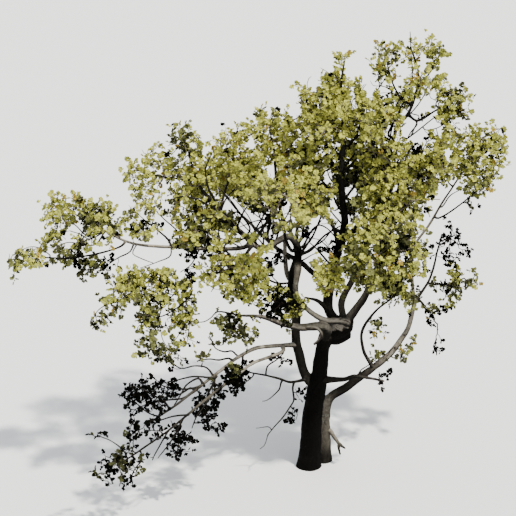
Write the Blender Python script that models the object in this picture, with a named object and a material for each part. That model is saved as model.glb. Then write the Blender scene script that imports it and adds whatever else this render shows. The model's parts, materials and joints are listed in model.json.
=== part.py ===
"""A whole pagoda tree: its trunk, its boughs and the masses of its leaves.

Metres, +Z up. The origin is on the trunk's flat cut at ground level, the tree's
front faces -Y, and its long low boughs reach to -X.

Each limb is a tapering tube along a smooth curve, and grows from the nearest place
on its parent. Each mass of leaves is one closed lump of its own shape. A bough ends
where it enters its own mass, and every other mass is cut round the limbs in it.
"""

from collections import namedtuple

import bmesh
import bpy
from mathutils import Vector, noise
from mathutils.bvhtree import BVHTree

# Clearances and tube sections
GAP = 0.0003
# A cutter's sides are this many gaps out, because its flat sides lie inside its radius.
FAT = 1.15
WELD = 0.00001
RING_SPACING = 0.30
CURVE_STEPS = 24
FEWEST_RINGS = 5
BOUGH_ROUNDNESS = 2
TRUNK_ROUNDNESS = 4

# A bough's foot: how far down its parent it starts, in parent radii, and how much
# of the parent's own thickness it may take up
SET_BACK = 1.3
THICKEST_FOOT = 0.88

# Unevenness of the leaf masses
LUMP_DEPTH = 0.24
LUMP_SCALE = 1.9
SWELL = 1.08
# Two masses whose centres are further apart than this many times their sizes need no border.
APART = 1.3
# Masses of more than this mean half size are made of finer faces.
FINE_MASS = 0.54

# Colours, as linear red, green and blue
BARK = (0.16, 0.13, 0.10)
LEAF_GREEN = (0.24, 0.25, 0.05)

# The main stem: its place, and its radius there. It leans to the right, swells at
# the foot, and folds over into a thick elbow under the crown.
STEM = [
    ((-0.03, -0.10, -0.10), 0.215),
    ((-0.02, -0.09, 0.10), 0.195),
    ((0.00, -0.06, 0.35), 0.175),
    ((0.02, -0.03, 0.90), 0.162),
    ((0.09, 0.00, 1.36), 0.152),
    ((0.14, 0.00, 1.75), 0.130),
    ((0.18, 0.00, 2.12), 0.110),
    ((0.25, -0.01, 2.32), 0.138),
    ((0.39, -0.02, 2.45), 0.180),
    ((0.50, -0.03, 2.51), 0.166),
    ((0.60, -0.03, 2.66), 0.088),
]
# The second stem is grown into the main one, up to where it leaves it.
FUSED_STEM = [
    ((0.24, 0.14, -0.10), 0.168),
    ((0.23, 0.11, 0.14), 0.142),
    ((0.21, 0.06, 0.60), 0.120),
    ((0.23, 0.03, 1.00), 0.106),
    ((0.30, 0.04, 1.20), 0.085),
]

# way: the places it goes through. foot, tip: its radius at each end.
# into: the mass of leaves that it ends in, or None where its tip is bare.
Limb = namedtuple("Limb", "name parent way foot tip into")
# path, radii: a limb's middle line and its thickness there. clear: the shapes, a
# little fatter than the limb, that cut other pieces clear of it.
Grown = namedtuple("Grown", "path radii clear")

RIGHT_LIMBS = [
    Limb("right_stem", "fused_stem", [(0.37, 0.05, 1.25), (0.65, 0.10, 1.41), (1.05, 0.18, 1.70),
         (1.34, 0.26, 1.92), (1.58, 0.34, 2.27), (1.72, 0.45, 2.79)], 0.078, 0.034, None),
    Limb("right_upper_bough", "right_stem", [(1.66, 0.52, 3.20), (1.68, 0.55, 3.66),
         (1.97, 0.62, 4.14), (2.17, 0.62, 4.52), (2.44, 0.60, 4.98)], 0.029, 0.012, "right_end_leaves"),
    Limb("right_fork_bough", "right_stem", [(1.96, 0.56, 3.12), (2.07, 0.64, 3.56),
         (2.14, 0.68, 3.86)], 0.026, 0.011, None),
    Limb("inner_shoot", "right_stem", [(0.85, 0.06, 2.05), (0.82, -0.06, 2.45),
         (1.02, -0.15, 2.84), (1.27, -0.20, 3.08)], 0.022, 0.011, None),
    Limb("front_shoot", "trunk", [(0.51, -0.20, 1.65), (0.72, -0.25, 1.74), (1.00, -0.35, 1.73),
         (1.16, -0.40, 1.71)], 0.054, 0.016, None),
]

LEFT_LIMBS = [
    Limb("left_stem", "trunk", [(-0.10, 0.05, 1.62), (-0.24, 0.05, 2.12), (-0.26, 0.08, 2.67),
         (-0.29, 0.08, 3.11), (-0.24, 0.06, 3.60), (-0.27, 0.03, 3.99)], 0.080, 0.050, None),
    Limb("left_arch", "left_stem", [(-0.42, -0.02, 4.06), (-0.77, -0.10, 3.89), (-1.00, -0.15, 4.02),
         (-1.30, -0.19, 4.33), (-1.52, -0.20, 4.58)], 0.045, 0.036, None),
    Limb("left_spur", "left_arch", [(-1.72, -0.06, 4.78), (-1.88, 0.14, 5.03)], 0.032, 0.018,
         "upper_left_leaves"),
    Limb("mid_left_bough", "left_arch", [(-1.12, -0.21, 3.94), (-1.48, -0.28, 3.94),
         (-2.05, -0.40, 4.01), (-2.79, -0.55, 4.12), (-3.25, -0.66, 4.38)], 0.035, 0.016,
         "left_cluster_leaves"),
    Limb("far_left_bough", "mid_left_bough", [(-3.01, -0.63, 4.11), (-3.32, -0.68, 4.02),
         (-3.75, -0.76, 3.97), (-4.36, -0.85, 4.02)], 0.020, 0.010, "far_left_leaves"),
    Limb("left_shelf_bough", "left_arch", [(-1.24, -0.52, 3.75), (-1.71, -0.66, 3.63),
         (-2.38, -0.88, 3.50)], 0.026, 0.013, "left_shelf_leaves"),
    Limb("upright_bough", "left_stem", [(-0.41, 0.20, 3.34), (-0.44, 0.25, 3.78), (-0.48, 0.20, 4.25),
         (-0.58, 0.16, 4.75), (-0.62, 0.40, 5.36)], 0.030, 0.016, "upper_back_leaves"),
    Limb("front_bough", "left_stem", [(-0.36, -0.28, 3.92), (-0.50, -0.62, 4.38),
         (-0.60, -1.05, 4.80)], 0.030, 0.014, "front_leaves"),
    Limb("small_left_bough", "left_stem", [(-0.34, -0.15, 1.57), (-0.59, -0.25, 1.71),
         (-1.12, -0.45, 1.91)], 0.026, 0.010, None),
    Limb("low_left_bough", "left_stem", [(-0.52, -0.15, 2.23), (-0.88, -0.38, 2.29), (-1.17, -0.60, 2.24),
         (-1.71, -1.05, 2.00), (-2.09, -1.42, 1.83), (-2.56, -1.82, 1.66)], 0.036, 0.014, "low_under_leaves"),
    Limb("low_left_branch", "low_left_bough", [(-0.50, -0.24, 2.15), (-0.98, -0.68, 2.13),
         (-1.62, -1.28, 1.87), (-2.20, -1.80, 1.58), (-2.89, -2.26, 1.26)], 0.028, 0.012, "low_end_leaves"),
]

CROWN_LIMBS = [
    Limb("front_left_bough", "trunk", [(0.20, -0.19, 2.57), (-0.20, -0.28, 2.60), (-0.50, -0.37, 2.72),
         (-0.85, -0.50, 2.89), (-1.18, -0.64, 2.96)], 0.090, 0.018, "front_left_leaves"),
    Limb("centre_leader", "trunk", [(0.27, 0.05, 2.78), (0.28, 0.08, 3.20), (0.42, 0.12, 3.80),
         (0.50, 0.15, 4.25), (0.44, 0.17, 4.90), (0.46, 0.20, 5.85)], 0.088, 0.036, "centre_top_leaves"),
    Limb("right_leader", "trunk", [(0.48, 0.10, 2.87), (0.65, 0.20, 3.24), (0.80, 0.30, 3.58),
         (1.00, 0.42, 4.19), (1.15, 0.45, 4.94), (1.30, 0.42, 5.69), (1.50, 0.42, 6.00),
         (1.62, 0.42, 6.40)], 0.056, 0.022, "top_leaves"),
    Limb("top_right_bough", "right_leader", [(1.66, 0.45, 5.84), (1.98, 0.50, 6.02)], 0.024, 0.012,
         "top_right_leaves"),
    Limb("right_bough", "trunk", [(0.72, -0.12, 2.89), (0.85, -0.24, 3.18), (0.93, -0.40, 3.50),
         (1.02, -0.60, 3.90)], 0.078, 0.030, "front_right_leaves"),
    Limb("inner_right_bough", "right_bough", [(1.04, -0.10, 3.46), (1.24, 0.00, 4.05),
         (1.32, 0.05, 4.80)], 0.036, 0.018, "right_leaves"),
    Limb("back_left_bough", "centre_leader", [(0.01, 0.28, 3.34), (-0.22, 0.42, 3.49),
         (-0.58, 0.68, 3.62), (-1.20, 1.32, 4.02)], 0.042, 0.018, "back_left_leaves"),
    Limb("back_bough", "centre_leader", [(0.42, 0.50, 3.72), (0.36, 1.00, 3.90),
         (0.08, 1.70, 4.22)], 0.044, 0.018, "back_leaves"),
    Limb("back_right_bough", "right_leader", [(0.83, 0.60, 3.55), (1.05, 1.10, 3.82),
         (1.20, 1.62, 4.16)], 0.038, 0.018, "back_right_leaves"),
]

LIMBS = RIGHT_LIMBS + LEFT_LIMBS + CROWN_LIMBS

# half: half its width, depth and height. reach: the places its longest sprays reach.
Mass = namedtuple("Mass", "name centre half reach")

LEFT_MASSES = [
    Mass("far_left_leaves", (-4.43, -0.85, 4.00), (0.30, 0.25, 0.22),
         [(-4.75, -0.85, 3.86), (-4.25, -0.85, 4.22)]),
    Mass("left_cluster_leaves", (-3.57, -0.70, 4.46), (0.54, 0.42, 0.44), [(-4.20, -0.72, 4.74)]),
    Mass("left_under_leaves", (-3.45, -0.60, 3.88), (0.45, 0.33, 0.30), [(-3.20, -0.60, 3.50)]),
    Mass("left_mid_leaves", (-2.64, -0.44, 4.42), (0.30, 0.27, 0.36), []),
    Mass("left_arc_leaves", (-2.54, 0.35, 4.98), (0.44, 0.40, 0.42),
         [(-3.01, 0.30, 5.08), (-2.84, 0.30, 5.38)]),
    Mass("upper_left_leaves", (-1.86, 0.25, 4.98), (0.34, 0.46, 0.46),
         [(-2.08, 0.35, 5.79), (-1.76, 0.25, 5.53)]),
    Mass("left_inner_leaves", (-1.84, -0.35, 4.20), (0.36, 0.34, 0.40), []),
    Mass("left_shelf_leaves", (-2.55, -0.92, 3.55), (0.52, 0.38, 0.32), [(-3.20, -0.95, 3.12)]),
    Mass("left_hanging_leaves", (-2.42, -0.98, 2.78), (0.42, 0.30, 0.50), []),
    Mass("centre_left_leaves", (-1.22, -0.75, 3.80), (0.48, 0.34, 0.50), []),
    Mass("inner_left_leaves", (-0.44, -0.22, 3.08), (0.34, 0.32, 0.26), []),
    Mass("front_left_leaves", (-1.20, -0.75, 2.74), (0.32, 0.24, 0.28), []),
    Mass("low_left_leaves", (-2.46, -1.58, 2.02), (0.44, 0.36, 0.28), []),
    Mass("low_under_leaves", (-2.62, -1.88, 1.60), (0.30, 0.30, 0.26), []),
    Mass("low_end_leaves", (-2.95, -2.32, 1.15), (0.30, 0.28, 0.30), [(-3.10, -2.42, 0.84)]),
    Mass("low_hanging_leaves", (-1.66, -1.12, 1.66), (0.27, 0.26, 0.40), []),
]

CROWN_MASSES = [
    Mass("upper_mid_leaves", (-1.30, 0.50, 5.11), (0.36, 0.54, 0.58),
         [(-1.33, 0.45, 5.70), (-1.09, 0.50, 5.85)]),
    Mass("upper_back_leaves", (-0.62, 0.62, 5.54), (0.46, 0.62, 0.34),
         [(-0.86, 0.60, 5.90), (-0.46, 0.60, 5.90)]),
    Mass("upper_front_leaves", (-0.81, -0.10, 5.02), (0.48, 0.48, 0.38), []),
    Mass("centre_leaves", (-0.15, -0.10, 4.91), (0.40, 0.55, 0.58), []),
    Mass("front_leaves", (-0.64, -1.15, 4.92), (0.56, 0.52, 0.44), []),
    Mass("centre_top_leaves", (0.20, 0.36, 5.98), (0.46, 0.80, 0.52),
         [(0.45, 0.10, 6.98), (0.02, 0.10, 6.50)]),
    Mass("right_top_leaves", (0.92, 0.32, 5.88), (0.44, 0.76, 0.48), [(0.72, 0.20, 6.42)]),
    Mass("top_leaves", (1.45, 0.42, 6.60), (0.48, 0.54, 0.56),
         [(1.45, 0.40, 7.33), (1.06, 0.42, 7.12), (1.94, 0.42, 7.10)]),
    Mass("top_right_leaves", (2.08, 0.52, 6.05), (0.36, 0.22, 0.24), [(2.42, 0.50, 6.26)]),
    Mass("front_centre_leaves", (0.20, -0.32, 3.52), (0.28, 0.40, 0.26), []),
    Mass("right_leaves", (1.22, 0.18, 4.92), (0.66, 0.62, 0.58), []),
    Mass("front_right_leaves", (1.06, -0.74, 4.07), (0.58, 0.58, 0.58), []),
    Mass("right_upper_leaves", (1.90, 0.25, 5.30), (0.36, 0.44, 0.62), [(2.26, 0.25, 5.94)]),
    Mass("right_end_leaves", (2.66, 0.60, 5.20), (0.42, 0.36, 0.48), [(3.10, 0.60, 5.58)]),
    Mass("right_low_leaves", (2.38, 0.74, 2.95), (0.40, 0.28, 0.28), [(1.90, 0.54, 3.04)]),
    Mass("back_left_leaves", (-1.38, 1.46, 4.26), (0.74, 0.66, 0.54), []),
    Mass("back_leaves", (-0.05, 1.85, 4.46), (0.72, 0.72, 0.62), []),
    Mass("back_right_leaves", (1.24, 1.75, 4.36), (0.68, 0.72, 0.62), []),
]

MASSES = LEFT_MASSES + CROWN_MASSES


def clear_scene():
    for item in list(bpy.data.objects):
        bpy.data.objects.remove(item)


def new_collection(name):
    collection = bpy.data.collections.new(name)
    bpy.context.scene.collection.children.link(collection)
    return collection


def make_material(name, colour, roughness):
    material = bpy.data.materials.new(name)
    material.use_nodes = True
    shader = material.node_tree.nodes["Principled BSDF"]
    shader.inputs["Base Color"].default_value = (*colour, 1.0)
    shader.inputs["Roughness"].default_value = roughness
    shader.inputs["Metallic"].default_value = 0.0
    return material


def add_object(name, mesh, collection, material=None):
    item = bpy.data.objects.new(name, mesh)
    collection.objects.link(item)
    if material:
        mesh.materials.append(material)
    else:
        item.hide_render = True
        item.display_type = "WIRE"
    return item


# Curves


def curve_point(points, place):
    """The place on a smooth curve through the points, where 2.5 is halfway from the third to the fourth."""
    step = min(int(place), len(points) - 2)
    t = place - step
    p1, p2 = points[step], points[step + 1]
    p0 = points[step - 1] if step > 0 else 2 * p1 - p2
    p3 = points[step + 2] if step + 2 < len(points) else 2 * p2 - p1
    straight = 2 * p1 + (p2 - p0) * t
    bend = (2 * p0 - 5 * p1 + 4 * p2 - p3) * t**2 + (3 * p1 - p0 - 3 * p2 + p3) * t**3
    return (straight + bend) / 2


def smooth_path(points):
    """Points at an even spacing along a smooth curve, and the place of each as curve_point counts it."""
    points = [Vector(point) for point in points]
    fine = [i / CURVE_STEPS for i in range((len(points) - 1) * CURVE_STEPS + 1)]
    track = [curve_point(points, place) for place in fine]
    far = [0.0]
    for a, b in zip(track, track[1:]):
        far.append(far[-1] + (b - a).length)
    rings = max(FEWEST_RINGS, round(far[-1] / RING_SPACING))
    path = []
    places = []
    for ring in range(rings + 1):
        wanted = far[-1] * ring / rings
        nearest = min(range(len(far)), key=lambda i: abs(far[i] - wanted))
        path.append(track[nearest])
        places.append(fine[nearest])
    return path, places


def tube_mesh(name, path, radii, roundness):
    """A closed tube along a path, with its own radius at each point."""
    curve = bpy.data.curves.new(name, "CURVE")
    curve.dimensions = "3D"
    curve.bevel_depth = 1.0
    curve.bevel_resolution = roundness
    curve.use_fill_caps = True
    spline = curve.splines.new("POLY")
    spline.points.add(len(path) - 1)
    for point, place, radius in zip(spline.points, path, radii):
        point.co = (*place, 1.0)
        point.radius = radius
    guide = bpy.data.objects.new(name, curve)
    bpy.context.scene.collection.objects.link(guide)
    bpy.context.view_layer.update()
    evaluated = guide.evaluated_get(bpy.context.evaluated_depsgraph_get())
    mesh = bpy.data.meshes.new_from_object(evaluated)
    bpy.data.objects.remove(guide)
    welded = bmesh.new()
    welded.from_mesh(mesh)
    bmesh.ops.remove_doubles(welded, verts=welded.verts, dist=WELD)
    bmesh.ops.recalc_face_normals(welded, faces=welded.faces)
    bmesh.ops.triangulate(welded, faces=welded.faces, quad_method="FIXED")
    welded.to_mesh(mesh)
    welded.free()
    return mesh


def fat_tube(name, path, radii, roundness):
    """A tube larger than the one on this path by the gap, all round and at both ends."""
    longer = list(path)
    longer[0] = path[0] + GAP * (path[0] - path[1]).normalized()
    longer[-1] = path[-1] + GAP * (path[-1] - path[-2]).normalized()
    return tube_mesh(name, longer, [radius + FAT * GAP for radius in radii], roundness)


def add_boolean(item, operation, other):
    modifier = item.modifiers.new(operation.lower(), "BOOLEAN")
    modifier.operation = operation
    modifier.solver = "EXACT"
    modifier.object = other


# Trunk


def stem_path(stem):
    path, places = smooth_path([place for place, radius in stem])
    widths = [radius for place, radius in stem]
    return path, [curve_point(widths, place) for place in places]


def ground_mesh():
    """A slab whose top is the level ground, which cuts the trunk's foot flat."""
    slab = bmesh.new()
    bmesh.ops.create_cube(slab, size=2.0)
    bmesh.ops.translate(slab, verts=slab.verts, vec=(0.0, 0.0, -1.0))
    mesh = bpy.data.meshes.new("ground_cutter")
    slab.to_mesh(mesh)
    slab.free()
    return mesh


def add_trunk(tree, cutters, bark):
    """Both stems in one, cut flat at the ground, with the shapes that cut limbs clear of it."""
    stem = stem_path(STEM)
    fused = stem_path(FUSED_STEM)
    trunk = add_object("trunk", tube_mesh("trunk", *stem, TRUNK_ROUNDNESS), tree, bark)
    joined = add_object("fused_stem", tube_mesh("fused_stem", *fused, TRUNK_ROUNDNESS), cutters)
    add_boolean(trunk, "UNION", joined)
    add_boolean(trunk, "DIFFERENCE", add_object("ground_cutter", ground_mesh(), cutters))
    clear = [
        add_object("stem_cutter", fat_tube("stem_cutter", *stem, TRUNK_ROUNDNESS), cutters),
        add_object("fused_cutter", fat_tube("fused_cutter", *fused, TRUNK_ROUNDNESS), cutters),
    ]
    return trunk, Grown(*stem, clear)


# Limbs


def foot_on(parent, place):
    """Where on the parent a limb to this place starts, a little below the nearest, and the radius there."""
    place = Vector(place)
    index = min(range(len(parent.path)), key=lambda i: (parent.path[i] - place).length)
    back = SET_BACK * parent.radii[index]
    start = parent.path[index]
    while index > 0 and back > 0:
        step = parent.path[index - 1] - start
        moved = min(back, step.length)
        start = start + step.normalized() * moved
        back -= moved
        if back > 0:
            index -= 1
    return start, parent.radii[index]


def overlaps(one, other):
    trees = []
    for item in (one, other):
        shape = bmesh.new()
        shape.from_mesh(item.data)
        trees.append(BVHTree.FromBMesh(shape))
        shape.free()
    return bool(trees[0].overlap(trees[1]))


def add_limb(limb, parent, tree, cutters, bark):
    start, thickness = foot_on(parent, limb.way[0])
    path, _ = smooth_path([start, *limb.way])
    foot = min(limb.foot, THICKEST_FOOT * thickness)
    rings = len(path) - 1
    radii = [foot + (limb.tip - foot) * ring / rings for ring in range(rings + 1)]
    item = add_object(limb.name, tube_mesh(limb.name, path, radii, BOUGH_ROUNDNESS), tree, bark)
    cutter = fat_tube(limb.name + "_cutter", path, radii, BOUGH_ROUNDNESS)
    return item, Grown(path, radii, [add_object(limb.name + "_cutter", cutter, cutters)])


# Masses of leaves


def borders(mass):
    """Planes that part this mass from those near it: each a direction and a distance from its centre."""
    centre = Vector(mass.centre)
    planes = []
    for other in MASSES:
        if other is mass:
            continue
        across = Vector(other.centre) - centre
        towards = across.normalized()
        own, theirs = (
            Vector([half * part for half, part in zip(each.half, towards)]).length for each in (mass, other)
        )
        if across.length < APART * (own + theirs):
            planes.append((towards, across.length * own / (own + theirs) - GAP / 2))
    return planes


def lump_mesh(mass, seed, spare):
    """An uneven lump round the mass's centre that keeps to its own side of each border."""
    centre = Vector(mass.centre)
    fine = 3 if sum(mass.half) / 3 > FINE_MASS else 2
    lump = bmesh.new()
    bmesh.ops.create_icosphere(lump, subdivisions=fine, radius=1.0)
    planes = borders(mass)
    tips = {}
    for place in mass.reach:
        tip = Vector(place) - centre
        nearest = max(lump.verts, key=lambda vert: vert.co.normalized().dot(tip.normalized()))
        tips[nearest.index] = tip
    for vert in lump.verts:
        out = tips.get(vert.index, vert.co).normalized()
        size = SWELL / Vector([part / half for part, half in zip(out, mass.half)]).length
        size *= 1 + LUMP_DEPTH * noise.noise(out * LUMP_SCALE + Vector((seed * 3.7, 0.0, 0.0)))
        if vert.index in tips:
            size = tips[vert.index].length
        for towards, distance in planes:
            facing = out.dot(towards)
            if facing * size > distance:
                size = distance / facing
        vert.co = centre + out * (size + spare)
    mesh = bpy.data.meshes.new(mass.name)
    lump.to_mesh(mesh)
    lump.free()
    return mesh


def main():
    clear_scene()
    tree = new_collection("pagoda_tree")
    cutters = new_collection("cutters")
    bark = make_material("bark", BARK, 0.9)
    leaf = make_material("leaves", LEAF_GREEN, 0.7)

    items = {}
    grown = {}
    items["trunk"], grown["trunk"] = add_trunk(tree, cutters, bark)
    grown["fused_stem"] = Grown(*stem_path(FUSED_STEM), [])
    for limb in LIMBS:
        earlier = list(grown.values())
        items[limb.name], grown[limb.name] = add_limb(limb, grown[limb.parent], tree, cutters, bark)
        for other in earlier:
            for cutter in other.clear:
                if overlaps(items[limb.name], cutter):
                    add_boolean(items[limb.name], "DIFFERENCE", cutter)

    feeder = {limb.into: limb.name for limb in LIMBS if limb.into}
    for seed, mass in enumerate(MASSES):
        item = add_object(mass.name, lump_mesh(mass, seed, 0.0), tree, leaf)
        for name, limb in grown.items():
            if name == feeder.get(mass.name):
                cutter = add_object(mass.name + "_cutter", lump_mesh(mass, seed, FAT * GAP), cutters)
                add_boolean(items[name], "DIFFERENCE", cutter)
                continue
            for cutter in limb.clear:
                if overlaps(item, cutter):
                    add_boolean(item, "DIFFERENCE", cutter)


main()
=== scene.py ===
"""The looks of a whole old pagoda tree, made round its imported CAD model.

Metres, +Z up, in the CAD's own frame: the origin is on the trunk's flat cut at
ground level and the tree's front faces -Y. The limbs run where the CAD's do, with
thinner ones beside them that the CAD leaves out. One bark mesh stands for the trunk
and its main limbs, and one for the boughs. Twigs grow out from the limbs to fill each
mass of leaves by a seeded rule, and pinnate leaves grow on the twigs' last stretch.
"""

import json
import math
from collections import namedtuple

import bmesh
import bpy
import numpy as np
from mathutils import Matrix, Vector, noise
from mathutils.bvhtree import BVHTree
from mathutils.kdtree import KDTree

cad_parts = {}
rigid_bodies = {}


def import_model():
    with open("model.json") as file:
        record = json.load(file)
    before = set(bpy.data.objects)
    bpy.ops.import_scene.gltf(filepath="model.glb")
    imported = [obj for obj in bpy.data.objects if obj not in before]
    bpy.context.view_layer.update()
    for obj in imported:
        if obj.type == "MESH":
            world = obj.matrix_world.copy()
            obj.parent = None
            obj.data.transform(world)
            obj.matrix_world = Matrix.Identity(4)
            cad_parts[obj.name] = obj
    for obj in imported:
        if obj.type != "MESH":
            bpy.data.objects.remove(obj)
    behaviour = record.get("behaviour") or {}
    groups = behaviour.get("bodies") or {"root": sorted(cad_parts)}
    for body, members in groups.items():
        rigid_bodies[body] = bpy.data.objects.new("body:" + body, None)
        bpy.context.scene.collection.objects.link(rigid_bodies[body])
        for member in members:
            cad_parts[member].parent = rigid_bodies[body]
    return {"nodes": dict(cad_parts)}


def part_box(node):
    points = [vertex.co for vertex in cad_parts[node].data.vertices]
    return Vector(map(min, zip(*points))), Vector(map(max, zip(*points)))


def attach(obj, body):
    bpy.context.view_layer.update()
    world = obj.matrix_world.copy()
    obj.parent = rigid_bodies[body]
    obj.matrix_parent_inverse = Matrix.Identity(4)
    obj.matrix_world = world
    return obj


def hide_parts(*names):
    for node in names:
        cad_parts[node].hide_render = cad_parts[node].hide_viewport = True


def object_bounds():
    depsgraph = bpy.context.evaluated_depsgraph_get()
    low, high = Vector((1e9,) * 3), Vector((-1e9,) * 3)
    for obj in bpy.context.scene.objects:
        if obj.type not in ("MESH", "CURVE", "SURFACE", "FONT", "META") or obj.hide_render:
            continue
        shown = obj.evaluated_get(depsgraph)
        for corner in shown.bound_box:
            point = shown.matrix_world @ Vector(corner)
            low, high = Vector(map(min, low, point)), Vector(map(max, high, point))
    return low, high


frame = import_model()
cad_box = [list(corner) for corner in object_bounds()]

SEED = 20
# Places and costs are rounded to this many decimals, so that every run grows the same tree
ROUNDED = 6

# Camera
TILT = math.radians(20.0)
VIEW_DISTANCE = 22.0
LOOK_AT = Vector((-0.88, 0.0, 3.69))
LENS = 95.93
SENSOR = 36.0

AHEAD = Vector((0.0, math.cos(TILT), -math.sin(TILT)))
ABOVE = Vector((0.0, math.sin(TILT), math.cos(TILT)))
EYE = LOOK_AT - VIEW_DISTANCE * AHEAD

# Studio
FLOOR_SIZE = 260.0
FLOOR_COLOUR = (0.80, 0.80, 0.79)
FLOOR_ROUGHNESS = 0.9
FLOOR_SHINE = 0.1
SKY_COLOUR = (0.90, 0.94, 1.0)
SKY_STRENGTH = 1.25
SUN_COLOUR = (1.0, 0.965, 0.90)
SUN_STRENGTH = 6.4
SUN_WIDTH = math.radians(3.0)
SUN_FROM = Vector((0.42, -0.36, 1.0))

# Trunk and limbs, as the CAD model has them: places and radii
STEM = [
    ((-0.03, -0.10, -0.10), 0.215),
    ((-0.02, -0.09, 0.10), 0.195),
    ((0.00, -0.06, 0.35), 0.175),
    ((0.02, -0.03, 0.90), 0.162),
    ((0.09, 0.00, 1.36), 0.152),
    ((0.14, 0.00, 1.75), 0.130),
    ((0.18, 0.00, 2.12), 0.110),
    ((0.25, -0.01, 2.32), 0.138),
    ((0.39, -0.02, 2.45), 0.180),
    ((0.50, -0.03, 2.51), 0.166),
    ((0.60, -0.03, 2.66), 0.088),
]
FUSED_STEM = [
    ((0.24, 0.14, -0.10), 0.168),
    ((0.23, 0.11, 0.14), 0.142),
    ((0.21, 0.06, 0.60), 0.120),
    ((0.23, 0.03, 1.00), 0.106),
    ((0.30, 0.04, 1.20), 0.085),
]

# way: the places it goes through. foot, tip: its radius at each end.
Limb = namedtuple("Limb", "name parent way foot tip")

MAIN_LIMBS = [
    Limb("right_stem", "fused_stem", [(0.37, 0.05, 1.25), (0.65, 0.10, 1.41), (1.05, 0.18, 1.70),
         (1.34, 0.26, 1.92), (1.58, 0.34, 2.27), (1.72, 0.45, 2.79)], 0.078, 0.034),
    Limb("left_stem", "trunk", [(-0.10, 0.05, 1.62), (-0.24, 0.05, 2.12), (-0.26, 0.08, 2.67),
         (-0.29, 0.08, 3.11), (-0.24, 0.06, 3.60), (-0.27, 0.03, 3.99)], 0.080, 0.062),
    Limb("left_arch", "left_stem", [(-0.42, -0.02, 4.06), (-0.77, -0.10, 3.89),
         (-1.00, -0.15, 4.02), (-1.30, -0.19, 4.33), (-1.52, -0.20, 4.58)], 0.060, 0.038),
    Limb("front_left_bough", "trunk", [(0.20, -0.19, 2.57), (-0.20, -0.28, 2.60),
         (-0.50, -0.37, 2.72), (-0.85, -0.50, 2.89), (-1.18, -0.64, 2.96)], 0.090, 0.018),
    Limb("centre_leader", "trunk", [(0.27, 0.05, 2.78), (0.28, 0.08, 3.20), (0.42, 0.12, 3.80),
         (0.50, 0.15, 4.25), (0.44, 0.17, 4.90), (0.46, 0.20, 5.85)], 0.088, 0.036),
    Limb("right_leader", "trunk", [(0.48, 0.10, 2.87), (0.65, 0.20, 3.24), (0.80, 0.30, 3.58),
         (1.00, 0.42, 4.19), (1.15, 0.45, 4.94), (1.30, 0.42, 5.69), (1.50, 0.42, 6.00),
         (1.62, 0.42, 6.40)], 0.056, 0.022),
    Limb("right_bough", "trunk", [(0.72, -0.12, 2.89), (0.85, -0.24, 3.18), (0.93, -0.40, 3.50),
         (1.02, -0.60, 3.90)], 0.078, 0.030),
    # The ridge over the elbow, the left stem's fuller side, the elbow's fuller underside,
    # and the ridge that comes down the left stem
    Limb("elbow_ridge", "trunk", [(0.56, -0.15, 2.64), (0.41, -0.16, 2.68), (0.22, -0.18, 2.69),
         (0.05, -0.18, 2.76), (-0.08, -0.20, 2.87), (-0.17, -0.18, 2.97)], 0.062, 0.036),
    Limb("stem_shoulder", "left_stem", [(-0.31, 0.02, 2.82), (-0.35, 0.02, 3.03),
         (-0.35, 0.02, 3.24), (-0.32, 0.02, 3.44), (-0.26, 0.03, 3.65)], 0.08, 0.06),
    Limb("elbow_under", "trunk", [(0.26, -0.03, 2.31), (0.42, -0.05, 2.31),
         (0.57, -0.05, 2.41)], 0.1, 0.096),
    Limb("stem_ridge", "left_stem", [(-0.24, -0.05, 3.57), (-0.26, -0.08, 3.41),
         (-0.28, -0.10, 3.25), (-0.26, -0.13, 3.10), (-0.17, -0.17, 2.97)], 0.06, 0.04),
]

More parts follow.
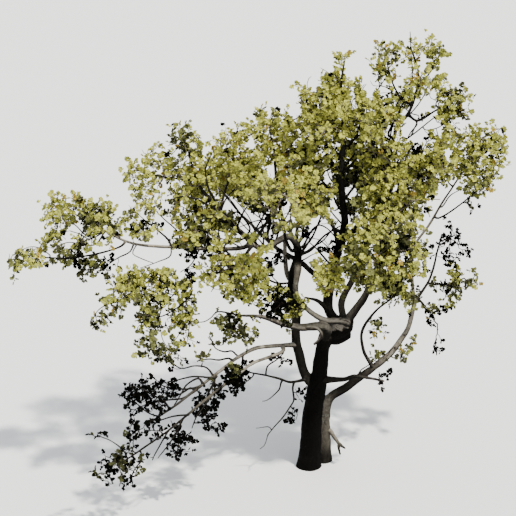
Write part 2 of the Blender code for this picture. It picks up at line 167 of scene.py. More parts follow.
BOUGHS = [
    Limb("right_upper_bough", "right_stem", [(1.66, 0.52, 3.20), (1.68, 0.55, 3.66),
         (1.97, 0.62, 4.14), (2.17, 0.62, 4.52), (2.44, 0.60, 4.98)], 0.029, 0.012),
    Limb("right_fork_bough", "right_stem", [(1.96, 0.56, 3.12), (2.07, 0.64, 3.56),
         (2.14, 0.68, 3.86)], 0.026, 0.011),
    Limb("inner_shoot", "right_stem", [(0.85, 0.06, 2.05), (0.82, -0.06, 2.45), (1.02, -0.15, 2.84),
         (1.27, -0.20, 3.08)], 0.030, 0.015),
    Limb("front_shoot", "trunk", [(0.51, -0.20, 1.65), (0.72, -0.25, 1.74), (1.00, -0.35, 1.73),
         (1.16, -0.40, 1.71)], 0.054, 0.016),
    Limb("left_spur", "left_arch", [(-1.72, -0.06, 4.78), (-1.88, 0.14, 5.03)], 0.032, 0.018),
    Limb("mid_left_bough", "left_arch", [(-1.12, -0.21, 3.94), (-1.48, -0.28, 3.94),
         (-2.05, -0.40, 4.01), (-2.79, -0.55, 4.12), (-3.25, -0.66, 4.38)], 0.035, 0.016),
    Limb("far_left_bough", "mid_left_bough", [(-3.01, -0.63, 4.11), (-3.32, -0.68, 4.02),
         (-3.75, -0.76, 3.97), (-4.36, -0.85, 4.02)], 0.020, 0.010),
    Limb("left_shelf_bough", "left_arch", [(-1.24, -0.52, 3.75), (-1.71, -0.66, 3.63),
         (-2.38, -0.88, 3.50)], 0.026, 0.013),
    Limb("upright_bough", "left_stem", [(-0.41, 0.20, 3.34), (-0.44, 0.25, 3.78),
         (-0.48, 0.20, 4.25), (-0.58, 0.16, 4.75), (-0.62, 0.40, 5.36)], 0.038, 0.018),
    Limb("front_bough", "left_stem", [(-0.36, -0.28, 3.92), (-0.50, -0.62, 4.38),
         (-0.60, -1.05, 4.80)], 0.030, 0.014),
    Limb("small_left_bough", "left_stem", [(-0.34, -0.15, 1.57), (-0.59, -0.25, 1.71),
         (-1.12, -0.45, 1.91)], 0.026, 0.010),
    Limb("low_left_bough", "left_stem", [(-0.52, -0.15, 2.23), (-0.88, -0.38, 2.29),
         (-1.17, -0.60, 2.24), (-1.71, -1.05, 2.00), (-2.09, -1.42, 1.83),
         (-2.56, -1.82, 1.66)], 0.036, 0.014),
    Limb("low_left_branch", "low_left_bough", [(-0.50, -0.24, 2.15), (-0.98, -0.68, 2.13),
         (-1.62, -1.28, 1.87), (-2.20, -1.80, 1.58), (-2.89, -2.26, 1.26)], 0.028, 0.012),
    Limb("top_right_bough", "right_leader", [(1.66, 0.45, 5.84), (1.98, 0.50, 6.02)], 0.024, 0.012),
    Limb("inner_right_bough", "right_bough", [(1.04, -0.10, 3.46), (1.24, 0.00, 4.05),
         (1.32, 0.05, 4.80)], 0.036, 0.018),
    Limb("back_left_bough", "centre_leader", [(0.01, 0.28, 3.34), (-0.22, 0.42, 3.49),
         (-0.58, 0.68, 3.62), (-1.20, 1.32, 4.02)], 0.052, 0.018),
    Limb("back_bough", "centre_leader", [(0.42, 0.50, 3.72), (0.36, 1.00, 3.90),
         (0.08, 1.70, 4.22)], 0.044, 0.018),
    Limb("back_right_bough", "right_leader", [(0.83, 0.60, 3.55), (1.05, 1.10, 3.82),
         (1.20, 1.62, 4.16)], 0.038, 0.018),
]

# Thinner limbs that the CAD model leaves out, and the boughs' own runs inside the leaves
BRANCHES = [
    # On through the masses of leaves
    Limb("centre_top", "centre_leader", [(0.45, 0.16, 6.20), (0.40, 0.12, 6.52),
         (0.45, 0.10, 6.88)], 0.040, 0.008),
    Limb("centre_top_left", "centre_leader", [(0.28, 0.20, 5.72), (0.10, 0.18, 6.05),
         (0.02, 0.12, 6.40)], 0.025, 0.006),
    Limb("centre_top_right", "centre_leader", [(0.62, 0.10, 5.62), (0.72, 0.12, 5.98),
         (0.74, 0.18, 6.32)], 0.025, 0.006),
    Limb("centre_top_back", "centre_leader", [(0.50, 0.45, 5.50), (0.35, 0.72, 5.92)], 0.023, 0.008),
    Limb("top", "right_leader", [(1.60, 0.42, 6.66), (1.50, 0.41, 6.95), (1.46, 0.40, 7.25)], 0.024, 0.006),
    Limb("top_left", "right_leader", [(1.38, 0.40, 6.18), (1.18, 0.40, 6.55),
         (1.08, 0.42, 7.02)], 0.019, 0.005),
    Limb("top_end", "right_leader", [(1.74, 0.44, 6.52), (1.90, 0.42, 6.78),
         (1.93, 0.42, 7.02)], 0.019, 0.005),
    Limb("front_right_run", "right_bough", [(1.07, -0.78, 4.20), (1.16, -0.92, 4.50)], 0.032, 0.010),
    Limb("front_right_low", "right_bough", [(1.18, -0.62, 3.78), (1.40, -0.80, 3.92)], 0.020, 0.008),
    Limb("right_run", "inner_right_bough", [(1.38, 0.12, 5.15), (1.52, 0.20, 5.45)], 0.023, 0.008),
    Limb("right_upper_run", "inner_right_bough", [(1.55, 0.12, 4.85), (1.86, 0.22, 5.20),
         (2.05, 0.25, 5.70)], 0.020, 0.006),
    Limb("left_spur_run", "left_spur", [(-1.96, 0.24, 5.30), (-2.06, 0.33, 5.68)], 0.023, 0.006),
    Limb("left_arc_run", "left_spur", [(-2.00, 0.08, 4.96), (-2.42, 0.25, 4.98),
         (-2.80, 0.30, 5.06)], 0.020, 0.006),
    Limb("upper_mid_run", "left_arch", [(-1.42, -0.05, 4.75), (-1.30, 0.25, 5.10),
         (-1.26, 0.48, 5.62)], 0.026, 0.006),
    Limb("back_left_run", "back_left_bough", [(-1.45, 1.55, 4.25), (-1.72, 1.75, 4.50)], 0.023, 0.008),
    Limb("back_run", "back_bough", [(-0.08, 1.95, 4.50), (-0.22, 2.15, 4.80)], 0.023, 0.008),
    Limb("back_right_run", "back_right_bough", [(1.28, 1.85, 4.42), (1.42, 2.05, 4.72)], 0.023, 0.008),
    # Bare and half bare twigs seen against the sky
    Limb("right_whip", "right_upper_bough", [(2.08, 0.63, 4.16), (2.38, 0.68, 4.34),
         (2.77, 0.74, 4.66), (2.98, 0.76, 4.88), (3.08, 0.74, 5.10)], 0.020, 0.006),
    Limb("foot_shoot", "fused_stem", [(0.31, 0.00, 0.62), (0.40, -0.04, 0.50),
         (0.50, -0.08, 0.37)], 0.044, 0.026),
    Limb("foot_shoot_down", "foot_shoot", [(0.47, -0.08, 0.34), (0.50, -0.10, 0.22)], 0.028, 0.015),
    Limb("foot_shoot_out", "foot_shoot", [(0.53, -0.09, 0.36), (0.58, -0.10, 0.33)], 0.024, 0.014),
    Limb("elbow_twig", "front_left_bough", [(-0.10, -0.38, 2.66), (0.03, -0.40, 2.66),
         (0.12, -0.39, 2.58), (0.14, -0.36, 2.48), (0.09, -0.32, 2.38),
         (0.03, -0.27, 2.31)], 0.031, 0.023),
    Limb("elbow_shoot", "centre_leader", [(0.16, 0.00, 2.90), (0.06, -0.04, 2.98),
         (-0.12, -0.08, 3.04)], 0.041, 0.016),
    Limb("arch_upright", "left_arch", [(-0.72, -0.02, 4.02), (-0.70, 0.05, 4.23),
         (-0.67, 0.10, 4.50)], 0.031, 0.016),
    Limb("arch_upright_left", "arch_upright", [(-0.84, 0.00, 4.36), (-0.97, 0.00, 4.46)], 0.012, 0.006),
    Limb("arch_slant", "left_arch", [(-1.01, -0.10, 4.23), (-1.15, -0.08, 4.46),
         (-1.32, -0.05, 4.68), (-1.46, -0.02, 4.83)], 0.017, 0.008),
    Limb("mid_left_fork", "mid_left_bough", [(-2.28, -0.42, 4.14), (-2.45, -0.44, 4.31),
         (-2.59, -0.45, 4.43), (-2.74, -0.45, 4.58)], 0.019, 0.006),
    Limb("mid_left_rise", "mid_left_bough", [(-2.13, -0.30, 4.23), (-2.37, -0.25, 4.45),
         (-2.54, -0.20, 4.62)], 0.014, 0.006),
    Limb("leader_right_twig", "centre_leader", [(0.47, 0.10, 5.09), (0.61, 0.05, 5.27),
         (0.71, 0.00, 5.40), (0.83, -0.02, 5.47)], 0.023, 0.010),
    Limb("leader_left_twig", "centre_leader", [(0.41, 0.12, 4.51), (0.30, 0.08, 4.72),
         (0.21, 0.05, 4.86), (0.12, 0.02, 4.99)], 0.023, 0.010),
    Limb("leader_low_twig", "centre_leader", [(0.57, 0.05, 4.11), (0.72, 0.00, 4.30)], 0.017, 0.008),
    Limb("stem_fan_top", "left_stem", [(-0.18, 0.02, 4.02), (-0.01, 0.00, 4.16),
         (0.12, -0.05, 4.34)], 0.026, 0.010),
    Limb("stem_fan_mid", "left_stem", [(-0.16, 0.02, 3.82), (0.02, -0.05, 4.15),
         (0.10, -0.12, 4.40)], 0.026, 0.010),
    Limb("stem_fan_low", "left_stem", [(-0.05, 0.00, 3.83), (0.20, -0.05, 4.10),
         (0.42, -0.08, 4.26)], 0.026, 0.010),
    Limb("front_shoot_twig", "front_shoot", [(0.80, -0.28, 1.85), (0.89, -0.30, 1.93),
         (1.06, -0.35, 2.10)], 0.014, 0.005),
    Limb("leader_level_twig", "right_leader", [(1.18, 0.30, 4.20), (1.37, 0.30, 4.32),
         (1.63, 0.30, 4.55), (1.84, 0.30, 4.58), (2.03, 0.30, 4.58)], 0.019, 0.006),
    Limb("right_stem_twig", "right_upper_bough", [(1.62, 0.48, 3.20), (1.53, 0.45, 3.34),
         (1.40, 0.35, 3.62)], 0.016, 0.006),
    Limb("hanging_twig", "small_left_bough", [(-0.31, -0.16, 1.47), (-0.29, -0.18, 1.34),
         (-0.29, -0.20, 1.26), (-0.35, -0.25, 1.17), (-0.47, -0.32, 1.02), (-0.60, -0.38, 0.89),
         (-0.72, -0.44, 0.76)], 0.017, 0.008),
    Limb("hanging_twig_left", "hanging_twig", [(-0.72, -0.40, 0.89), (-0.91, -0.42, 0.87)], 0.009, 0.005),
    Limb("hanging_twig_end", "hanging_twig", [(-0.77, -0.46, 0.58), (-0.85, -0.48, 0.52)], 0.009, 0.005),
    Limb("hanging_twig_side", "hanging_twig", [(-0.24, -0.21, 1.04), (-0.25, -0.20, 0.91)], 0.009, 0.005),
    Limb("curved_twig", "small_left_bough", [(-0.50, -0.22, 1.60), (-0.53, -0.24, 1.48),
         (-0.65, -0.28, 1.37), (-0.73, -0.30, 1.32), (-0.81, -0.32, 1.31)], 0.014, 0.005),
    Limb("low_left_high_twig", "low_left_bough", [(-1.94, -1.20, 1.97), (-2.12, -1.35, 1.92),
         (-2.39, -1.50, 1.95)], 0.022, 0.008),
    Limb("low_left_down_twig", "low_left_branch", [(-2.07, -1.40, 1.50), (-2.13, -1.40, 1.30),
         (-2.13, -1.42, 1.07), (-2.17, -1.43, 0.88)], 0.018, 0.007),
    Limb("low_left_hanging", "low_left_bough", [(-1.57, -1.00, 1.98), (-1.67, -1.10, 1.80),
         (-1.70, -1.15, 1.56), (-1.69, -1.18, 1.33)], 0.022, 0.008),
    Limb("low_left_inner", "low_left_bough", [(-1.14, -0.55, 2.05), (-1.20, -0.60, 1.91),
         (-1.26, -0.65, 1.74)], 0.017, 0.007),
    Limb("shelf_strand", "left_shelf_bough", [(-2.03, -0.76, 3.40), (-1.97, -0.84, 3.16),
         (-1.95, -0.90, 2.92), (-1.98, -0.94, 2.66)], 0.016, 0.006),
    Limb("shelf_hanging", "left_shelf_bough", [(-2.36, -0.88, 3.26), (-2.44, -0.92, 2.98),
         (-2.50, -0.96, 2.72), (-2.42, -1.00, 2.45)], 0.020, 0.006),
    Limb("low_left_knot", "low_left_bough", [(-1.82, -1.10, 2.08), (-1.99, -1.20, 2.02),
         (-2.08, -1.30, 1.91), (-2.18, -1.42, 1.78)], 0.018, 0.008),
    Limb("low_left_out", "low_left_bough", [(-2.30, -1.55, 1.88), (-2.41, -1.60, 1.99),
         (-2.54, -1.68, 2.11), (-2.70, -1.75, 2.25)], 0.021, 0.008),
    Limb("low_left_out_low", "low_left_bough", [(-2.41, -1.70, 1.73), (-2.54, -1.78, 1.82),
         (-2.70, -1.86, 2.01), (-2.82, -1.92, 2.16)], 0.018, 0.008),
    Limb("low_end_run", "low_left_branch", [(-2.99, -2.33, 1.33), (-3.07, -2.38, 1.22),
         (-3.11, -2.42, 1.13), (-3.05, -2.48, 0.99)], 0.018, 0.008),
    Limb("low_end_hanging", "low_left_branch", [(-2.65, -2.12, 1.32), (-2.65, -2.14, 1.21),
         (-2.73, -2.18, 1.10), (-2.79, -2.22, 0.98), (-2.78, -2.25, 0.84)], 0.016, 0.008),
    Limb("low_end_out", "low_left_branch", [(-2.92, -2.26, 1.46), (-3.08, -2.28, 1.61),
         (-3.25, -2.32, 1.71)], 0.012, 0.007),
    Limb("low_mid_hanging", "low_left_branch", [(-2.25, -1.86, 1.56), (-2.33, -1.88, 1.42),
         (-2.41, -1.90, 1.27), (-2.50, -1.92, 1.09)], 0.016, 0.008),
    Limb("low_left_curl", "low_left_bough", [(-1.20, -0.48, 2.19), (-1.30, -0.50, 2.29),
         (-1.42, -0.56, 2.30), (-1.55, -0.62, 2.38), (-1.61, -0.66, 2.53),
         (-1.65, -0.68, 2.63)], 0.017, 0.008),
    Limb("low_left_shelf", "low_left_bough", [(-1.34, -0.72, 2.26), (-1.50, -0.80, 2.27),
         (-1.65, -0.86, 2.31), (-1.84, -0.92, 2.30)], 0.017, 0.008),
    Limb("low_left_high_out", "low_left_bough", [(-1.70, -0.95, 2.21), (-1.88, -1.02, 2.26),
         (-2.08, -1.10, 2.25), (-2.23, -1.16, 2.39), (-2.35, -1.20, 2.53)], 0.016, 0.008),
    Limb("low_joiner", "small_left_bough", [(-0.72, -0.27, 1.92), (-0.59, -0.25, 2.02),
         (-0.46, -0.22, 2.13)], 0.022, 0.010),
    Limb("low_inner_down", "small_left_bough", [(-0.98, -0.44, 1.80), (-1.11, -0.50, 1.72),
         (-1.24, -0.55, 1.66)], 0.017, 0.008),
    Limb("arch_crossing", "arch_upright", [(-0.75, -0.10, 4.31), (-0.88, -0.22, 4.25),
         (-1.02, -0.30, 4.17), (-1.19, -0.34, 4.10), (-1.41, -0.38, 4.08),
         (-1.63, -0.42, 4.01)], 0.024, 0.011),
    Limb("left_low_rise", "left_stem", [(-0.56, -0.16, 3.32), (-0.82, -0.26, 3.46),
         (-1.05, -0.36, 3.60), (-1.26, -0.46, 3.81)], 0.020, 0.008),
    Limb("shelf_twig", "left_shelf_bough", [(-1.75, -0.70, 3.56), (-1.66, -0.72, 3.52),
         (-1.56, -0.74, 3.45)], 0.010, 0.006),
    Limb("shelf_front_twig", "left_shelf_bough", [(-1.44, -0.60, 3.59), (-1.29, -0.64, 3.44),
         (-1.19, -0.66, 3.30)], 0.012, 0.006),
    Limb("front_left_out", "front_left_bough", [(-1.35, -0.68, 3.02), (-1.52, -0.72, 3.05),
         (-1.62, -0.74, 2.96), (-1.74, -0.76, 2.90), (-1.90, -0.80, 2.92)], 0.017, 0.006),
    Limb("far_left_end", "far_left_bough", [(-4.45, -0.86, 3.99), (-4.53, -0.87, 3.94),
         (-4.63, -0.88, 3.85)], 0.010, 0.006),
    Limb("far_left_high", "mid_left_bough", [(-3.38, -0.70, 4.17), (-3.59, -0.72, 4.18),
         (-3.80, -0.74, 4.21), (-4.01, -0.76, 4.15)], 0.013, 0.006),
    Limb("cluster_out", "mid_left_bough", [(-3.50, -0.68, 4.30), (-3.67, -0.70, 4.47),
         (-3.79, -0.70, 4.56), (-3.90, -0.72, 4.68), (-3.99, -0.72, 4.81)], 0.016, 0.006),
    Limb("cluster_out_low", "mid_left_bough", [(-3.46, -0.72, 4.26), (-3.61, -0.74, 4.35),
         (-3.76, -0.76, 4.41)], 0.012, 0.006),
    Limb("cluster_rise", "mid_left_bough", [(-3.47, -0.62, 4.34), (-3.53, -0.60, 4.46),
         (-3.60, -0.60, 4.64), (-3.63, -0.60, 4.85)], 0.014, 0.006),
    Limb("left_under_out", "mid_left_bough", [(-2.88, -0.58, 4.00), (-3.06, -0.60, 3.91),
         (-3.24, -0.62, 3.78), (-3.37, -0.64, 3.67)], 0.014, 0.006),
    Limb("left_under_in", "mid_left_bough", [(-2.83, -0.52, 3.96), (-2.71, -0.50, 3.87),
         (-2.52, -0.48, 3.78)], 0.010, 0.006),
    Limb("left_under_far", "mid_left_bough", [(-2.26, -0.44, 3.88), (-2.44, -0.48, 3.80),
         (-2.72, -0.54, 3.72)], 0.012, 0.006),
    Limb("mid_left_up", "mid_left_rise", [(-2.62, -0.18, 4.65), (-2.71, -0.16, 4.75)], 0.009, 0.006),
    Limb("shelf_end", "left_shelf_bough", [(-2.52, -0.92, 3.45), (-2.73, -0.96, 3.42),
         (-3.03, -1.02, 3.37), (-3.31, -1.08, 3.25), (-3.44, -1.10, 3.07)], 0.017, 0.006),
    Limb("shelf_drop", "left_shelf_bough", [(-2.15, -0.84, 3.44), (-2.31, -0.88, 3.29),
         (-2.43, -0.92, 3.13)], 0.012, 0.006),
    Limb("shelf_low", "left_shelf_bough", [(-1.92, -0.78, 3.38), (-2.11, -0.84, 3.19),
         (-2.31, -0.90, 3.08), (-2.56, -0.96, 3.03), (-2.74, -1.00, 2.98)], 0.017, 0.007),
    Limb("shelf_low_hanging", "shelf_low", [(-2.67, -1.00, 2.85), (-2.58, -1.00, 2.68),
         (-2.44, -1.00, 2.53), (-2.29, -1.00, 2.42)], 0.010, 0.006),
    Limb("shelf_low_drop", "shelf_low", [(-2.41, -0.92, 2.90), (-2.38, -0.94, 2.70),
         (-2.29, -0.96, 2.54)], 0.010, 0.006),
    Limb("strand_out", "shelf_strand", [(-2.00, -0.90, 2.94), (-2.10, -0.92, 2.78),
         (-2.19, -0.94, 2.64)], 0.010, 0.006),
    Limb("plume_bare", "centre_top_right", [(0.73, 0.18, 6.36), (0.79, 0.18, 6.48)], 0.009, 0.005),
    Limb("top_left_bare", "top_left", [(1.06, 0.42, 6.81), (0.99, 0.42, 6.98),
         (1.05, 0.42, 7.13)], 0.009, 0.005),
    Limb("top_right_arc", "top_right_bough", [(1.92, 0.50, 6.10), (2.01, 0.50, 6.22),
         (2.15, 0.50, 6.28), (2.29, 0.50, 6.22), (2.35, 0.50, 6.12), (2.24, 0.50, 6.04)], 0.012, 0.006),
    Limb("top_right_run", "top_right_bough", [(2.07, 0.52, 6.04), (2.18, 0.52, 6.05),
         (2.29, 0.52, 5.99)], 0.013, 0.006),
    Limb("top_right_drop", "top_right_bough", [(1.63, 0.44, 5.78), (1.55, 0.43, 5.67),
         (1.49, 0.42, 5.56)], 0.013, 0.008),
    Limb("right_end_run", "right_upper_bough", [(2.48, 0.60, 5.13), (2.56, 0.60, 5.29),
         (2.66, 0.58, 5.46), (2.82, 0.56, 5.63), (3.00, 0.56, 5.68)], 0.017, 0.006),
    Limb("right_end_low", "right_upper_bough", [(2.13, 0.64, 4.36), (2.25, 0.66, 4.54),
         (2.49, 0.68, 4.67)], 0.013, 0.006),
    Limb("right_end_mid", "right_whip", [(2.66, 0.72, 4.74), (2.82, 0.70, 4.95),
         (2.88, 0.68, 5.19)], 0.010, 0.006),
    Limb("right_upper_fork", "right_upper_bough", [(2.19, 0.60, 4.78), (2.15, 0.56, 5.07),
         (2.04, 0.52, 5.37), (1.94, 0.50, 5.70)], 0.019, 0.006),
    Limb("leader_high_left", "centre_leader", [(0.35, 0.14, 5.15), (0.22, 0.10, 5.37),
         (0.06, 0.06, 5.53)], 0.020, 0.008),
    Limb("leader_mid_right", "centre_leader", [(0.53, 0.12, 4.69), (0.65, 0.06, 4.89),
         (0.78, 0.02, 5.02), (0.93, 0.00, 5.22)], 0.023, 0.010),
    Limb("leader_mid_left", "centre_leader", [(0.33, 0.10, 4.16), (0.17, 0.04, 4.42),
         (-0.03, -0.02, 4.62), (-0.22, -0.06, 4.78)], 0.026, 0.010),
    Limb("leader_low_left", "centre_leader", [(0.25, 0.08, 3.59), (0.08, 0.02, 3.82),
         (-0.05, -0.04, 3.96)], 0.020, 0.010),
    Limb("leader_low_right", "centre_leader", [(0.50, 0.06, 3.60), (0.62, 0.00, 3.84),
         (0.68, -0.06, 4.05), (0.83, -0.10, 4.20)], 0.022, 0.010),
    Limb("leader_high_right", "centre_leader", [(0.53, 0.16, 5.50), (0.68, 0.14, 5.67),
         (0.89, 0.12, 5.83)], 0.019, 0.006),
    Limb("upright_left_fork", "upright_bough", [(-0.59, 0.16, 4.53), (-0.82, 0.12, 4.79),
         (-1.04, 0.10, 5.03), (-1.16, 0.12, 5.32)], 0.026, 0.008),
    Limb("upright_right_fork", "upright_bough", [(-0.47, 0.16, 4.61), (-0.31, 0.12, 4.89),
         (-0.17, 0.10, 5.16), (-0.10, 0.12, 5.44)], 0.026, 0.008),
    Limb("upright_end", "upright_bough", [(-0.66, 0.40, 5.53), (-0.69, 0.40, 5.73),
         (-0.66, 0.40, 5.90)], 0.017, 0.006),
    Limb("stem_top_left", "left_stem", [(-0.37, 0.02, 4.12), (-0.48, 0.00, 4.36),
         (-0.66, -0.04, 4.58), (-0.88, -0.06, 4.75), (-1.10, -0.06, 4.85)], 0.029, 0.011),
    Limb("stem_top_right", "left_stem", [(-0.26, 0.02, 4.16), (-0.18, 0.00, 4.43),
         (-0.12, -0.02, 4.74), (0.03, -0.04, 5.04)], 0.029, 0.011),
    Limb("arch_end_up", "left_arch", [(-1.57, -0.18, 4.75), (-1.66, -0.16, 4.94),
         (-1.70, -0.12, 5.19), (-1.61, -0.08, 5.42)], 0.023, 0.008),
    Limb("arch_end_out", "left_arch", [(-1.66, -0.22, 4.65), (-1.84, -0.24, 4.75),
         (-2.06, -0.24, 4.80), (-2.25, -0.24, 4.74)], 0.023, 0.008),
    Limb("mid_inner_up", "mid_left_bough", [(-1.67, -0.28, 4.06), (-1.79, -0.26, 4.22),
         (-1.88, -0.24, 4.41), (-1.94, -0.22, 4.63)], 0.020, 0.008),
    Limb("mid_inner_down", "mid_left_bough", [(-1.85, -0.38, 3.86), (-1.95, -0.42, 3.71),
         (-2.10, -0.46, 3.62)], 0.013, 0.006),
    Limb("right_bough_left", "right_bough", [(0.83, -0.34, 3.36), (0.70, -0.40, 3.57),
         (0.56, -0.46, 3.79)], 0.026, 0.010),
    Limb("right_bough_out", "right_bough", [(1.13, -0.50, 3.60), (1.30, -0.56, 3.73),
         (1.48, -0.60, 3.91)], 0.023, 0.008),
    Limb("inner_right_left", "inner_right_bough", [(1.14, -0.06, 4.27), (0.97, -0.10, 4.53),
         (0.84, -0.12, 4.77)], 0.020, 0.008),
    Limb("right_leader_left", "right_leader", [(1.05, 0.40, 4.60), (0.88, 0.36, 4.82),
         (0.74, 0.34, 5.09)], 0.020, 0.008),
    Limb("right_leader_right", "right_leader", [(1.26, 0.44, 5.06), (1.41, 0.44, 5.26),
         (1.56, 0.44, 5.39)], 0.019, 0.008),
    Limb("right_stem_low_out", "right_stem", [(1.45, 0.30, 1.97), (1.55, 0.32, 1.94),
         (1.62, 0.34, 1.88)], 0.012, 0.006),
    Limb("stem_fan_arc", "left_stem", [(-0.15, 0.00, 3.91), (-0.07, -0.02, 4.07),
         (-0.01, -0.04, 4.19), (0.09, -0.05, 4.26), (0.23, -0.06, 4.20),
         (0.34, -0.06, 4.07)], 0.02, 0.009),
    Limb("stem_fan_fork", "stem_fan_arc", [(0.10, -0.05, 4.35), (0.18, -0.05, 4.50),
         (0.24, -0.05, 4.66)], 0.013, 0.006),
    Limb("stem_fan_wide", "left_stem", [(-0.13, 0.02, 3.77), (-0.00, 0.00, 3.88),
         (0.14, -0.02, 3.98), (0.28, -0.04, 4.16), (0.39, -0.04, 4.34)], 0.018, 0.008),
    Limb("stem_fan_flat", "left_stem", [(-0.14, 0.03, 3.66), (-0.01, 0.04, 3.74),
         (0.16, 0.05, 3.79)], 0.013, 0.006),
    Limb("leader_cross", "centre_leader", [(0.34, 0.05, 3.72), (0.22, 0.00, 3.89),
         (0.09, -0.04, 4.01), (-0.04, -0.06, 4.05)], 0.014, 0.006),
    Limb("leader_fan_one", "centre_leader", [(0.53, 0.10, 4.40), (0.64, 0.06, 4.58),
         (0.70, 0.04, 4.78), (0.82, 0.02, 4.92)], 0.017, 0.007),
    Limb("leader_fan_two", "centre_leader", [(0.39, 0.14, 4.82), (0.25, 0.10, 4.99),
         (0.19, 0.08, 5.20)], 0.015, 0.007),
    Limb("leader_fan_three", "centre_leader", [(0.55, 0.16, 5.24), (0.67, 0.14, 5.44),
         (0.78, 0.12, 5.57), (0.83, 0.12, 5.80)], 0.015, 0.006),
    Limb("leader_fan_four", "centre_leader", [(0.36, 0.18, 5.39), (0.24, 0.14, 5.58),
         (0.16, 0.12, 5.82), (0.05, 0.10, 5.96)], 0.015, 0.006),
    Limb("arch_fan_one", "left_arch", [(-0.97, -0.20, 4.13), (-0.90, -0.22, 4.30),
         (-0.80, -0.24, 4.48), (-0.76, -0.24, 4.67)], 0.02, 0.008),
    Limb("arch_fan_two", "left_arch", [(-1.19, -0.22, 4.34), (-1.11, -0.24, 4.54),
         (-1.00, -0.24, 4.71), (-0.97, -0.24, 4.90)], 0.018, 0.007),
    Limb("arch_fan_three", "left_arch", [(-1.38, -0.20, 4.36), (-1.57, -0.22, 4.40),
         (-1.75, -0.24, 4.51), (-1.94, -0.24, 4.56), (-2.13, -0.24, 4.67)], 0.016, 0.007),
    Limb("arch_fan_four", "left_arch", [(-1.27, -0.20, 4.20), (-1.45, -0.24, 4.23),
         (-1.63, -0.26, 4.30), (-1.80, -0.28, 4.33), (-2.00, -0.30, 4.40)], 0.016, 0.007),
    Limb("arch_fan_five", "left_arch", [(-1.44, -0.18, 4.59), (-1.35, -0.16, 4.78),
         (-1.19, -0.14, 4.94), (-1.16, -0.12, 5.12)], 0.016, 0.006),
    Limb("mid_fan_one", "mid_left_bough", [(-1.45, -0.30, 4.05), (-1.58, -0.30, 4.18),
         (-1.76, -0.30, 4.25), (-1.94, -0.32, 4.24), (-2.13, -0.34, 4.31)], 0.014, 0.006),
    Limb("mid_fan_two", "mid_left_bough", [(-1.95, -0.36, 4.07), (-2.07, -0.34, 4.23),
         (-2.13, -0.32, 4.40), (-2.25, -0.30, 4.56)], 0.014, 0.006),
    Limb("shelf_fan_one", "left_shelf_bough", [(-1.35, -0.54, 3.82), (-1.44, -0.58, 3.70),
         (-1.50, -0.62, 3.55), (-1.61, -0.66, 3.37)], 0.013, 0.006),
    Limb("stem_low_one", "left_stem", [(-0.46, -0.14, 3.02), (-0.62, -0.20, 3.12),
         (-0.78, -0.26, 3.24), (-0.91, -0.30, 3.39)], 0.018, 0.007),
    Limb("stem_low_two", "left_stem", [(-0.43, -0.14, 2.85), (-0.59, -0.20, 2.89),
         (-0.75, -0.26, 3.00), (-0.94, -0.30, 3.04)], 0.016, 0.007),
    Limb("gap_long", "right_bough", [(1.34, 0.46, 5.38), (1.50, 0.47, 5.54), (1.65, 0.48, 5.66),
         (1.79, 0.49, 5.78), (1.96, 0.50, 5.91), (2.15, 0.50, 6.04), (2.28, 0.50, 6.14)], 0.022, 0.007),
    Limb("gap_knot", "gap_long", [(1.56, 0.47, 5.61), (1.62, 0.47, 5.77), (1.66, 0.47, 5.90),
         (1.53, 0.46, 5.95), (1.42, 0.45, 6.04)], 0.02, 0.008),
    Limb("gap_rise", "right_bough", [(1.21, 0.45, 5.55), (1.33, 0.45, 5.73), (1.50, 0.44, 5.93),
         (1.65, 0.44, 6.12), (1.75, 0.44, 6.31), (1.79, 0.44, 6.55)], 0.022, 0.007),
    Limb("gap_inner", "right_leader", [(1.18, 0.42, 5.62), (1.29, 0.42, 5.87), (1.38, 0.42, 6.08),
         (1.48, 0.42, 6.33), (1.53, 0.42, 6.58), (1.49, 0.42, 6.87)], 0.02, 0.006),
    Limb("gap_low", "gap_long", [(1.78, 0.48, 5.67), (1.95, 0.49, 5.70), (2.12, 0.50, 5.81),
         (2.25, 0.50, 5.89)], 0.012, 0.006),
    Limb("plume_left_rise", "right_leader", [(0.94, 0.40, 6.11), (0.98, 0.40, 6.30),
         (1.10, 0.40, 6.53), (1.17, 0.40, 6.72)], 0.015, 0.006),
    Limb("plume_left_bare", "plume_left_rise", [(1.01, 0.40, 6.43), (0.98, 0.40, 6.68),
         (0.99, 0.40, 6.90), (1.05, 0.40, 7.09)], 0.01, 0.005),
    Limb("leader_top_bare", "right_leader", [(0.62, 0.30, 6.07), (0.68, 0.30, 6.30),
         (0.77, 0.30, 6.45)], 0.012, 0.005),
    Limb("low_fan_one", "low_left_bough", [(-1.85, -1.20, 1.93), (-2.05, -1.32, 1.85),
         (-2.27, -1.42, 1.87), (-2.51, -1.52, 1.88), (-2.72, -1.62, 1.83)], 0.019, 0.008),
    Limb("low_fan_two", "low_left_bough", [(-1.79, -1.14, 1.97), (-2.00, -1.24, 1.97),
         (-2.21, -1.32, 2.02), (-2.42, -1.40, 2.13)], 0.018, 0.008),
    Limb("low_fan_three", "low_left_branch", [(-1.96, -1.64, 1.72), (-2.17, -1.74, 1.75),
         (-2.37, -1.82, 1.72), (-2.56, -1.90, 1.76)], 0.019, 0.008),
    Limb("low_fan_four", "low_left_branch", [(-2.07, -1.76, 1.64), (-2.17, -1.78, 1.43),
         (-2.29, -1.82, 1.25), (-2.42, -1.86, 1.09)], 0.016, 0.007),
    Limb("low_fan_five", "low_left_branch", [(-1.63, -1.30, 1.86), (-1.74, -1.34, 1.69),
         (-1.84, -1.40, 1.58), (-1.91, -1.44, 1.39)], 0.017, 0.008),
    Limb("low_fan_six", "low_left_bough", [(-1.54, -0.98, 2.04), (-1.74, -1.06, 2.09),
         (-1.94, -1.12, 2.12), (-2.16, -1.18, 2.08), (-2.31, -1.24, 1.99)], 0.018, 0.008),
